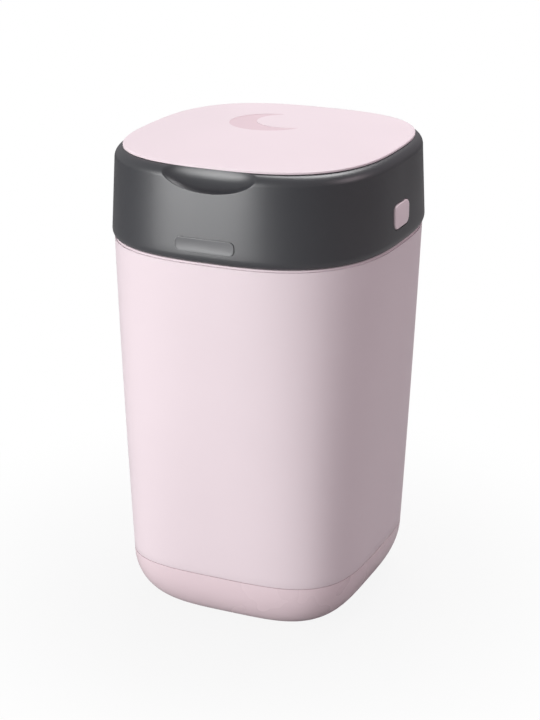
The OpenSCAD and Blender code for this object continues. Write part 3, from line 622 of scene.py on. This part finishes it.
def turned(name, profile, closed=True, sides=192):
    """A lathed piece from an outline of radius and height."""
    points = [(x * MM, y * MM, z * MM) for r, z in profile for x, y in circle(r, sides=sides)]
    count = len(profile)
    faces = [(j * sides + i, j * sides + (i + 1) % sides,
              (j + 1) % count * sides + (i + 1) % sides, (j + 1) % count * sides + i)
             for j in range(count if closed else count - 1) for i in range(sides)]
    mesh = bpy.data.meshes.new(name)
    mesh.from_pydata(points, [], faces)
    piece = put(name, mesh)
    tidy(piece)
    return piece


thread_pitch = 1.2


def pan_screw(head_r, head_t, shank_r, shank_l):
    """A cross-head screw, pointing up, with the underside of its head at zero."""
    profile = [(0, -head_t), (head_r * 0.55, -head_t), (head_r * 0.9, -head_t * 0.72),
               (head_r, -head_t * 0.3), (head_r, 0), (shank_r, 0)]
    for k in range(int(shank_l / thread_pitch)):
        profile += [(shank_r, k * thread_pitch + 0.5), (shank_r * 0.78, k * thread_pitch + 1.1)]
    screw = turned("screw", profile + [(0, shank_l)], closed=False, sides=32)
    cross = [prism("slot", [(-0.45, -head_r * 0.55), (0.45, -head_r * 0.55), (0.45, head_r * 0.55),
                            (-0.45, head_r * 0.55)], -head_t - 1, -head_t * 0.4, place)
             for place in (upwards, lambda u, v, h: (v, u, h))]
    join(screw, cross, "DIFFERENCE")
    tidy(screw)
    return screw


def corner_tree():
    """Copies one piece to the four corners of a rectangle."""
    tree = bpy.data.node_groups.new("four_corners", "GeometryNodeTree")
    value = reads(tree, [("Piece", "Object", None), ("Width", "Float", 0.1), ("Depth", "Float", 0.1),
                         ("Height", "Float", 0.0), ("Material", "Material", None)])
    spots = add(tree, "GeometryNodeMeshGrid", Vertices_X=2, Vertices_Y=2, Size_X=value["Width"],
                Size_Y=value["Depth"])
    one = add(tree, "GeometryNodeObjectInfo", Object=value["Piece"])
    copies = add(tree, "GeometryNodeInstanceOnPoints", Points=spots.outputs["Mesh"],
                 Instance=one.outputs["Geometry"])
    lift = add(tree, "ShaderNodeCombineXYZ", Z=value["Height"])
    raised = add(tree, "GeometryNodeTransform", Geometry=copies.outputs[0], Translation=lift.outputs[0])
    return end_tree(tree, raised.outputs[0], value["Material"])


four_corners = corner_tree()
screw_steel = metal("steel_screws", (0.55, 0.55, 0.56), 0.34, (900.0, 900.0, 900.0))


def four_screws(name, screw, width, depth, z, node):
    piece = grown(name, four_corners, {"Piece": screw, "Width": width * MM, "Depth": depth * MM,
                                       "Height": z * MM, "Material": screw_steel})
    bpy.data.objects.remove(screw)
    finish_as(piece, screw_steel, "head", node)


four_screws("chassis_screw_set", pan_screw(3.4, 2.0, 1.55, 14.0), 2 * boss_a, 2 * boss_a * depth_ratio,
            plate_z, "chassis_screws")


# ---- Funnel deck ----
# A white moulded funnel held by a flange under the collar's lip. It narrows
# from the rounded square of the lid's opening to the round edge of the dial.
dial_r, dial_z = 97.0, head_top_z - 34.5
hole_r, hole_z, deck_t = dial_r + 0.5, dial_z + 8.4, 2.0
deck_top = head_row(head_top_a, head_top_z - flange_t, opening_in + 1.5)


def deck_row(s, grow, drop):
    """Row of the funnel, from 0 at the dial to 1 at the flange."""
    ease = s * s * (3 - 2 * s)
    return (hole_r + (deck_top[0] - hole_r) * s + grow, hole_r + (deck_top[1] - hole_r) * s + grow,
            2 + (head_square - 2) * ease, hole_z + deck_t + (deck_top[3] - 4 - hole_z - deck_t) * s - drop)


deck_edge = [head_row(head_top_a, head_top_z - flange_t - z, d)
             for z, d in ((4, 23.5), (0.8, 23.5), (0.15, 23.1), (0, 22.3), (0, 16.4), (0.4, 16),
                          (deck_t, 16), (deck_t, 21.5), (5, 21.5))]
deck = skin("funnel_deck_shell", (
    [deck_row(s, 0, 0) for s in np.linspace(0, 1, 14)] + deck_edge[1:]
    + [deck_row(s, deck_t, 1.4) for s in np.linspace(0.9, 0.1, 8)]
    + [(hole_r + deck_t, hole_r + deck_t, 2, hole_z), (hole_r + 0.3, hole_r + 0.3, 2, hole_z),
       (hole_r, hole_r, 2, hole_z + 0.3)]), hoop=True)
finish_as(deck, white_plastic, "head", "funnel_deck")


# ---- Jaw ring and its screws ----
# Twelve springy fingers moulded on a ring that is screwed under the well. They
# lean in to a narrow neck and grip the twisted film below the throat.
throat_r, well_z = dial_r - 35, head_z - 7.5
jaw_t, jaw_r, fingers, finger_w, finger_taper = 2.5, dial_r - 9, 12, 14.0, 0.35
jaw_z = well_z - jaw_t
neck_r, neck_z = throat_r - 30, jaw_z - 25


def ring_tree():
    """Copies one piece round the upright axis."""
    tree = bpy.data.node_groups.new("round_the_axis", "GeometryNodeTree")
    value = reads(tree, [("Piece", "Object", None), ("Count", "Int", 12), ("First turn", "Float", 0.0),
                         ("Material", "Material", None)])
    work = math_in(tree)
    spots = add(tree, "GeometryNodePoints", Count=value["Count"])
    one = add(tree, "GeometryNodeObjectInfo", Object=value["Piece"])
    share = work("DIVIDE", add(tree, "GeometryNodeInputIndex").outputs[0], value["Count"])
    angle = work("ADD", work("MULTIPLY", share, 2 * math.pi), value["First turn"])
    spin = add(tree, "ShaderNodeCombineXYZ", Z=angle)
    turn = add(tree, "FunctionNodeEulerToRotation", Euler=spin.outputs[0])
    copies = add(tree, "GeometryNodeInstanceOnPoints", Points=spots.outputs[0],
                 Instance=one.outputs["Geometry"], Rotation=turn.outputs[0])
    return end_tree(tree, copies.outputs[0], value["Material"])


round_the_axis = ring_tree()


def ring_of(name, one, count, first_degrees, material):
    piece = grown(name, round_the_axis, {"Piece": one, "Count": count, "Material": material,
                                         "First turn": math.radians(first_degrees)})
    bpy.data.objects.remove(one)
    return piece


def spoke(name, outline, width):
    """A bar along +X with this outline of radius and height."""
    return prism(name, outline, -width / 2, width / 2, lambda u, v, h: (u, h, v))


finger = spoke("finger", eased([(throat_r + 6, jaw_z + 1), (throat_r + 6, jaw_z - 1),
                                (throat_r + 1, jaw_z - 3), (neck_r + 8, neck_z + 5.2), (neck_r, neck_z),
                                (neck_r - 1, neck_z + 1.2), (neck_r + 8, neck_z + 7.0),
                                (throat_r + 1.5, jaw_z + 0.6)], 1.2), finger_w)
taper = np.array([v.co for v in finger.data.vertices])
narrow = 1 - finger_taper * np.clip((throat_r * MM - taper[:, 0]) / ((throat_r - neck_r) * MM), 0, 1)
taper[:, 1] *= narrow
finger.data.vertices.foreach_set("co", taper.ravel())
eased_edges(finger, 0.4, 2)
jaws = turned("jaw_ring_body", eased([(throat_r + 1, jaw_z), (jaw_r, jaw_z), (jaw_r, well_z),
                                      (throat_r + 1, well_z)], 0.5))
join(jaws, [ring_of("fingers", finger, fingers, 180 / fingers, white_plastic)])
finish_as(jaws, white_plastic, "head", "jaw_ring")
jaw_screw_span = math.sqrt(2) * (throat_r + 16)
four_screws("jaw_screw_set", pan_screw(3.0, 1.8, 1.45, 4.5), jaw_screw_span, jaw_screw_span, jaw_z,
            "jaw_screws")


# ---- Cassette: carrier, tray, film and cover ----
# A white carrier turns with the dial and holds the disposable cassette: a thin
# tray with a gathered sleeve of film, closed by a pink snap-on cover.
carrier_z, cover_t, carrier_r = well_z + 3.2, 1.5, dial_r - 3.3
tray_z, cover_z = carrier_z + 2, dial_z - 2.4
dress("cassette_carrier", white_plastic)
tray_r, tray_in, tray_wall = carrier_r - 2.1, throat_r + 1, 1.5
tray = turned("cassette_tray_shell", eased([
    (tray_in, tray_z), (tray_r, tray_z), (tray_r, cover_z), (tray_r - tray_wall, cover_z),
    (tray_r - tray_wall, tray_z + tray_wall), (tray_in + tray_wall, tray_z + tray_wall),
    (tray_in + tray_wall, cover_z - 0.4), (tray_in + tray_wall / 2, cover_z),
    (tray_in, cover_z - 0.4)], 0.5))
finish_as(tray, white_plastic, "dial", "cassette_tray")


def film_finish():
    """Thin cloudy film: soft light passes through, with crinkles across the pleats."""
    material, tree, shader = blank("film")
    place = add(tree, "ShaderNodeTexCoord").outputs["Object"]
    crinkle = add(tree, "ShaderNodeTexNoise", Vector=place, Scale=140.0, Detail=5.0,
                  Distortion=1.5).outputs["Fac"]
    bump = add(tree, "ShaderNodeBump", Strength=0.5, Distance=0.0006, Height=crinkle)
    feed(tree, shader, Base_Color=tinted(tree, crinkle, (0.62, 0.70, 0.66), (0.80, 0.86, 0.82)),
         Roughness=0.3, Normal=bump.outputs["Normal"], Subsurface_Weight=0.4,
         Subsurface_Radius=(0.004, 0.004, 0.004))
    return material


film = film_finish()
pleat, film_low, gathers, gather_swell = 2.4, tray_z + tray_wall, 90, 0.0022
pleats = int((cover_z - tray_z - tray_wall - 5) / pleat)
film_out = [(tray_r - 4 + 0.8 * (s % 2), film_low + s * pleat / 2) for s in range(2 * pleats + 2)]
film_in = [(tray_in + 4 + 0.8 * (s % 2), film_low + s * pleat / 2) for s in range(2 * pleats + 2)]
sleeve = turned("film_sleeve", eased(film_in[::-1] + film_out, 0.5, 3), sides=180)
gather = np.array([v.co for v in sleeve.data.vertices])
angle = np.arctan2(gather[:, 1], gather[:, 0])
ripple = 1 + gather_swell * np.sin(gathers * angle + gather[:, 2] * 2600)
gather[:, :2] *= ripple[:, None]
sleeve.data.vertices.foreach_set("co", gather.ravel())
finish_as(sleeve, film, "dial", "film_pack")

lip_r = tray_r - tray_wall
cover = turned("cassette_cover_ring", eased([
    (tray_in + 3.4, cover_z), (lip_r - 1.6, cover_z), (lip_r - 1.2, cover_z - 2.5),
    (lip_r - 0.1, cover_z - 2.5), (lip_r - 0.1, cover_z), (tray_r, cover_z),
    (tray_r, cover_z + cover_t), (tray_in + 3.4, cover_z + cover_t)], 0.5))
finish_as(cover, pink_plastic, "dial", "cassette_cover")


# ---- Twist dial ----
# A pale grey ring turned by three finger grips. It drops from its round edge to
# the throat as a shallow cone, carries thirty-six click teeth round its foot
# and a smooth inner rail on which the film cutter runs.
rail_in, rail_out = throat_r + 2, throat_r + 4.5
rail_top, land_z, dial_top, tooth = dial_z + 14.4, dial_z + 10.4, dial_z + 20.6, 2.2
dial = turned("twist_dial_ring", eased([
    (dial_r - 7, dial_z), (dial_r - 0.5, dial_z), (dial_r - 0.5, dial_z + 4), (dial_r - 1, dial_z + 4),
    (dial_r - 1, dial_top - 1.2), (dial_r - 2.2, dial_top), (dial_r - 5, dial_top),
    (rail_out + 3.5, land_z), (rail_out, land_z), (rail_out, rail_top), (rail_in, rail_top),
    (rail_in, dial_z + 2.4), (rail_out, dial_z + 2.4), (rail_out, land_z - 2.4),
    (rail_out + 4.3, land_z - 2.4), (dial_r - 3.4, dial_top - 3.6), (dial_r - 3.4, dial_z + 4),
    (dial_r - 7, dial_z + 4)], 0.7), sides=288)
teeth, grips, grip_w, stop_degrees = 36, 3, 11.0, -100.5
tooth_end, tooth_in = 0.88 * (2 * math.pi / teeth), dial_r - 1.5
click = prism("tooth", [(tooth_in, 0.0), (dial_r + tooth, 0.0), polar(dial_r, tooth_end),
                        polar(tooth_in, tooth_end)], dial_z + 0.3, dial_z + 3.7, upwards)
grip = spoke("grip", eased([(rail_out + 5, land_z + 0.4), (rail_out + 5, land_z - 0.6),
                            (dial_r - 4, dial_top - 2), (dial_r - 4, dial_top),
                            (rail_out + 9, dial_top + 1.4)], 2.2, 6), grip_w)
eased_edges(grip, 2.4, 5, 60)
dial_plastic = moulded("dial_plastic", (0.36, 0.375, 0.40), 0.36, grain=0.06)
stop = bar("cutter_stop", [(rail_in + 0.2, rail_top - 1), (rail_out - 0.2, rail_top - 1),
                           (rail_out - 0.2, rail_top + 2), (rail_in + 0.2, rail_top + 2)], 3.4)
stop.data.transform(Matrix.Rotation(math.radians(stop_degrees), 4, "Z"))
join(dial, [ring_of("teeth", click, teeth, 0, dial_plastic),
            ring_of("grips", grip, grips, 30, dial_plastic), stop])
finish_as(dial, dial_plastic, "dial", "twist_dial")


# ---- Film cutter ----
# A small pink carriage clipped over the dial's rail, with a finger rib on top
# and a steel blade below that cuts the film when it is run round the throat.
dress("cutter_carriage", moulded("cutter_pink", (0.72, 0.42, 0.50), 0.32))
dress("cutter_blade", steel)


# ---- Lid: shell, liner, seal and pin ----
# A thin crowned pink shell with a crescent let into it, on a wide arm that runs
# down into the rear shoulder. A white liner is welded under it and holds a soft
# grey wiper seal that closes on the collar's flange.
lid_a, lid_z, lip_t, lid_crown, lid_t = head_top_a - 6.9, head_top_z + 0.7, 1.5, 4.75, 2.2
land_in, lip_drop, lip_rear = head_top_a - opening_in - 2.5, 0.65, 85.0


def crown_z(a):
    return lid_z + lip_t + lid_crown * (1 - (a / lid_a) ** 2)


def lid_row(a, z):
    return (a, a + lid_a * (depth_ratio - 1), head_square, z)


def crown_row(a, drop=0.0):
    return (a, a * depth_ratio, head_square, crown_z(a) - drop)


lid = skin("lid_crown", (
    [crown_row(a, lid_t) for a in (2, 12, 40, 60, 75, 88)]
    + [lid_row(land_in - 6, lid_z + 0.5), lid_row(land_in - 0.3, lid_z + 0.5), lid_row(land_in, lid_z + 0.2)]
    + [lid_row(land_in + 0.2, lid_z), lid_row(lid_a - 2.2, lid_z), lid_row(lid_a - 1.6, lid_z - lip_drop)]
    + [lid_row(lid_a - 0.3, lid_z - lip_drop), lid_row(lid_a, lid_z - lip_drop + 0.3)]
    + [lid_row(lid_a, lid_z + 0.75), lid_row(lid_a - 0.15, lid_z + 1.1)]
    + [lid_row(lid_a - 0.5, lid_z + 1.4), lid_row(lid_a - 1.1, lid_z + 1.58)]
    + [crown_row(a) for a in np.linspace(lid_a - 3, 2, 40)]))
for v in lid.data.vertices:
    below = lid_z * MM - v.co.z
    if below > 0:  # at the rear the lip stays up, clear of the shoulder that it opens over
        v.co.z += below * min(max((v.co.y / MM - lip_rear) / 20, 0.0), 1.0)
arm_top = lid_z + 0.9
arm = bar("lid_arm", [(lid_hinge_y - 16, head_top_z - 1.6), (lid_hinge_y - 8, head_top_z - 1.6),
                      (lid_hinge_y - lid_knuckle_r + 0.05, lid_hinge_z + 0.5), (lid_hinge_y, lid_hinge_z),
                      (lid_hinge_y + lid_knuckle_r - 0.05, lid_hinge_z + 0.5),
                      (lid_a * depth_ratio - 1.8, arm_top), (lid_hinge_y - 16, arm_top)], lid_arm_w)
join(lid, [arm, bar("lid_knuckle", circle(lid_knuckle_r, lid_hinge_y, lid_hinge_z), lid_arm_w - 0.04)])

moon_x, moon_y, moon_r, moon_depth = -15.0, 31.0, 37.0, 0.5
bite_r, bite_x, bite_y = moon_r * 0.82, moon_r * 0.42, moon_r * 0.3


def crescent():
    """Outline of the moon: the outer circle, then the inner one back again."""
    apart, lean = math.hypot(bite_x, bite_y), math.atan2(bite_y, bite_x)
    along = (apart ** 2 + moon_r ** 2 - bite_r ** 2) / (2 * apart)
    outer_half, inner_half = math.acos(along / moon_r), math.acos((along - apart) / bite_r)
    outer = np.linspace(outer_half, 2 * math.pi - outer_half, 120)
    inner = np.linspace(2 * math.pi - inner_half, inner_half, 90)[1:-1]
    return ([polar(moon_r, lean + t) for t in outer]
            + [polar(bite_r, lean + t, bite_x, bite_y) for t in inner])


moon_in = math.hypot(moon_x, moon_y)
moon_slope = math.atan(2 * lid_crown * moon_in / lid_a ** 2)
moon_turn = Matrix.Rotation(moon_slope, 3, Vector((-moon_y, moon_x, 0)))
moon_spot = Vector((moon_x, moon_y, crown_z(moon_in)))


def on_moon(u, v, h):
    return moon_spot + moon_turn @ Vector((u, v, h))


join(lid, [prism("moon", crescent(), -moon_depth, 8, on_moon)], "DIFFERENCE")
finish_as(lid, pink_plastic, "lid", "lid_shell")
moon_pink = moulded("moon_pink", (0.76, 0.59, 0.64), 0.5, grain=0.2)
lid.data.materials.append(moon_pink)
on_lid = [moon_turn.inverted() @ (v.co / MM - moon_spot) for v in lid.data.vertices]
moon_floor = {i for i, c in enumerate(on_lid)
              if abs(c.z + moon_depth) < 0.02 and math.hypot(c.x, c.y) < moon_r + 0.05}
for face in lid.data.polygons:
    if moon_floor.issuperset(face.vertices):
        face.material_index = 1

dress("lid_hinge_pin", steel)
liner_a, liner_z, liner_t, groove_z = land_in - 2, head_top_z - 8, 1.8, head_top_z - 2.6
liner = skin("lid_liner_shell", [lid_row(*p) for p in [
    (4, liner_z), (liner_a - 8.5, liner_z), (liner_a - 7.5, liner_z + 0.1), (liner_a - 0.7, liner_z + 2.2),
    (liner_a, liner_z + 2.8), (liner_a, groove_z), (liner_a - 1.1, groove_z),
    (liner_a - 1.1, groove_z + 2), (liner_a, groove_z + 2), (liner_a, lid_z + 0.5),
    (liner_a - 2.6, lid_z + 0.5), (liner_a - 2.6, liner_z + 3.6), (liner_a - 8, liner_z + liner_t),
    (4, liner_z + liner_t)]])
finish_as(liner, white_plastic, "lid", "lid_liner")

seal = skin("lid_seal_ring", [lid_row(liner_a + d, groove_z + z) for d, z in [
    (-1.1, 0), (1.2, 0.1), (3.0, 0.4), (3.35, 0.7), (3.4, 1.0), (3.25, 1.25), (2.6, 1.4), (1.0, 1.75),
    (-1.1, 2)]], hoop=True)
finish_as(seal, moulded("seal", (0.33, 0.34, 0.35), 0.62, grain=0.3, grain_size=0.0004), "lid", "lid_seal")


# ---- Latches: button, slider and spring on each side ----
# A pink button stands in each side window. It is snapped by two pegs to a white
# slider whose hook holds the head shut, and a small coil spring pushes both out.
wall_x = collar_a(button_z) - head_wall
flange_x, face_x, button_back = wall_x - 2, collar_a(button_z) + 0.8, 1.6
slider_x, slider_t, spring_seat_x = 114.0, 3.0, dial_r + 3
spring_r, spring_wire, spring_turns = 4.0, 0.6, 6.5


def spring_tree():
    """A coil of round wire along +X, its end turns squeezed flat together."""
    tree = bpy.data.node_groups.new("coil_spring", "GeometryNodeTree")
    value = reads(tree, [("Length", "Float", 0.01), ("Radius", "Float", 0.004), ("Wire", "Float", 0.0006),
                         ("Turns", "Float", 6.5), ("Material", "Material", None)])
    work = math_in(tree)
    line = add(tree, "GeometryNodeCurvePrimitiveLine")
    points = add(tree, "GeometryNodeResampleCurve", Curve=line.outputs[0], Count=260)
    along = add(tree, "GeometryNodeSplineParameter").outputs["Factor"]
    # The ends stay close-wound: all the pitch is in the middle of the wire
    mid = work("MINIMUM", work("MAXIMUM", work("DIVIDE", work("SUBTRACT", along, 0.12), 0.76), 0.0), 1.0)
    end_low = work("MULTIPLY", along, value["Wire"])
    x = work("ADD", end_low, work("MULTIPLY", mid, work("SUBTRACT", value["Length"], value["Wire"])))
    turn = work("MULTIPLY", work("MULTIPLY", along, value["Turns"]), 2 * math.pi)
    spot = add(tree, "ShaderNodeCombineXYZ", X=x, Y=work("MULTIPLY", value["Radius"], work("COSINE", turn)),
               Z=work("MULTIPLY", value["Radius"], work("SINE", turn)))
    move = add(tree, "GeometryNodeSetPosition", Geometry=points.outputs[0], Position=spot.outputs[0])
    wire = add(tree, "GeometryNodeCurvePrimitiveCircle", Resolution=10, Radius=value["Wire"])
    tube = add(tree, "GeometryNodeCurveToMesh", Curve=move.outputs[0], Profile_Curve=wire.outputs[0],
               Fill_Caps=True)
    return end_tree(tree, tube.outputs[0], value["Material"])


coil_spring = spring_tree()
# The buttons' pink is paler than the tub's. This is painted light that lifts them in the shade on the sides
# of the head.
button_pink_painted_light = moulded("pink_plastic.button", (0.95, 0.80, 0.85), 0.34, grain=0.03)
travel, peg_r, peg_x = 4.5, 1.6, 7.2
for name, side in (("right", 1), ("left", -1)):
    place = sideways(side)
    button = prism("latch_button_" + name + "_cap", tile(button_w, button_h, 7.0, 12),
                   flange_x - 0.1, face_x, place)
    eased_edges(button, 1.1, 5, 60)
    back = slider_x + slider_t
    pegs = [prism("peg", circle(peg_r, peg_x * s, 0, 24), slider_x - 0.8, back + 1, place)
            for s in (-1, 1)]
    join(button, [prism("flange", tile(button_w + 4.5, button_h + 4.5, 6.0, 12), flange_x - button_back,
                        flange_x + 0.1, place),
                  prism("post", tile(20, 14, 2), back, flange_x, place)] + pegs)
    finish_as(button, button_pink_painted_light, "latch_" + name, "latch_button_" + name)
    dress("latch_slider_" + name, white_plastic)

    length = slider_x - spring_seat_x
    spring = grown("latch_coil_" + name, coil_spring, {
        "Length": (length - 2 * spring_wire) * MM, "Radius": spring_r * MM, "Wire": spring_wire * MM,
        "Turns": spring_turns, "Material": steel})
    spring.data.transform(Matrix.Translation(
        Vector((spring_seat_x + spring_wire, button_y, button_z)) * MM))
    if side < 0:
        spring.data.transform(Matrix.Diagonal((-1, 1, 1, 1)))
    finish_as(spring, steel, "head", "latch_spring_" + name)
    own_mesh(spring)


# ---- Floor and light ----
# A plain pale studio: a large soft lamp at the front left, one overhead, a weak
# rosy one at the right, and a white surround that sheds less light from behind.
# The floor keeps a faint shadow.
def end_shaders(tree, share, first, second, end):
    """Ends a tree with a mix of two shaders."""
    blend = tree.nodes.new("ShaderNodeMixShader")
    for socket, source in zip(blend.inputs, (share, first.outputs[0], second.outputs[0])):
        tree.links.new(source, socket)
    tree.links.new(blend.outputs[0], tree.nodes[end].inputs["Surface"])


floor_half = 12.0
floor_mesh = bpy.data.meshes.new("floor")
floor_mesh.from_pydata([(x * floor_half, y * floor_half, 0.0) for x, y in
                        ((-1, -1), (1, -1), (1, 1), (-1, 1))], [], [(0, 1, 2, 3)])
floor = put("floor", floor_mesh)
paper, tree, shader = blank("paper")
feed(tree, shader, Base_Color=(0.4, 0.4, 0.4, 1), Roughness=0.9, Specular_IOR_Level=0.1)
glow = add(tree, "ShaderNodeEmission", Strength=1.0)
seen = add(tree, "ShaderNodeLightPath").outputs
spot = add(tree, "ShaderNodeTexCoord").outputs["Object"]
away = add(tree, "ShaderNodeVectorMath", operation="LENGTH", Vector=spot)
fade = add(tree, "ShaderNodeMapRange", interpolation_type="SMOOTHSTEP", Value=away.outputs["Value"],
           From_Min=0.1, From_Max=0.45, To_Min=0.9, To_Max=1.0)
share = math_in(tree)("MULTIPLY", seen["Is Camera Ray"], fade.outputs["Result"])
end_shaders(tree, share, shader, glow, "Material Output")
floor.data.materials.append(paper)

surround = bpy.data.worlds.new("surround")
bpy.context.scene.world = surround
surround.use_nodes = True
tree = surround.node_tree
work = math_in(tree)
across = add(tree, "ShaderNodeVectorMath", operation="DOT_PRODUCT",
             Vector=add(tree, "ShaderNodeTexCoord").outputs["Generated"])
across.inputs[1].default_value = (-0.8, -0.6, 0.0)
side = add(tree, "ShaderNodeMapRange", Value=across.outputs["Value"], From_Min=-1.0).outputs["Result"]
dimmer = add(tree, "ShaderNodeMapRange", Value=side, To_Min=0.21, To_Max=0.45)
soft = feed(tree, tree.nodes["Background"], Strength=dimmer.outputs["Result"],
            Color=tinted(tree, side, (1.0, 0.88, 0.93), (1.0, 1.0, 1.0)))
white = add(tree, "ShaderNodeBackground", Color=(1, 1, 1, 1), Strength=1.0)
seen = add(tree, "ShaderNodeLightPath").outputs
mirrored = work("MULTIPLY", seen["Is Glossy Ray"], 0.08)
share = work("MAXIMUM", work("MAXIMUM", seen["Is Camera Ray"], seen["Is Transmission Ray"]), mirrored)
end_shaders(tree, share, soft, white, "World Output")


def soft_light(name, place, aim, size, power, height=None, colour=(1.0, 1.0, 1.0)):
    lamp = bpy.data.lights.new(name, "AREA")
    lamp.color = colour
    lamp.shape = "RECTANGLE"
    lamp.size, lamp.size_y = size, height or size
    lamp.energy = power
    holder = bpy.data.objects.new(name, lamp)
    bpy.context.scene.collection.objects.link(holder)
    holder.location = place
    holder.rotation_euler = (Vector(aim) - Vector(place)).to_track_quat("-Z", "Y").to_euler()


soft_light("front_left", (-0.92, -1.88, 0.52), (0, 0, 0.3), 1.4, 30.0, 0.9)
soft_light("overhead", (0.0, 0.8, 2.1), (0, 0, 0.4), 1.2, 29.5)
soft_light("right_fill", (1.9, 0.3, 1.2), (0, 0, 0.3), 1.2, 6.4, 1.0, (1.0, 0.84, 0.90))

bpy.context.scene.view_settings.view_transform = "Standard"
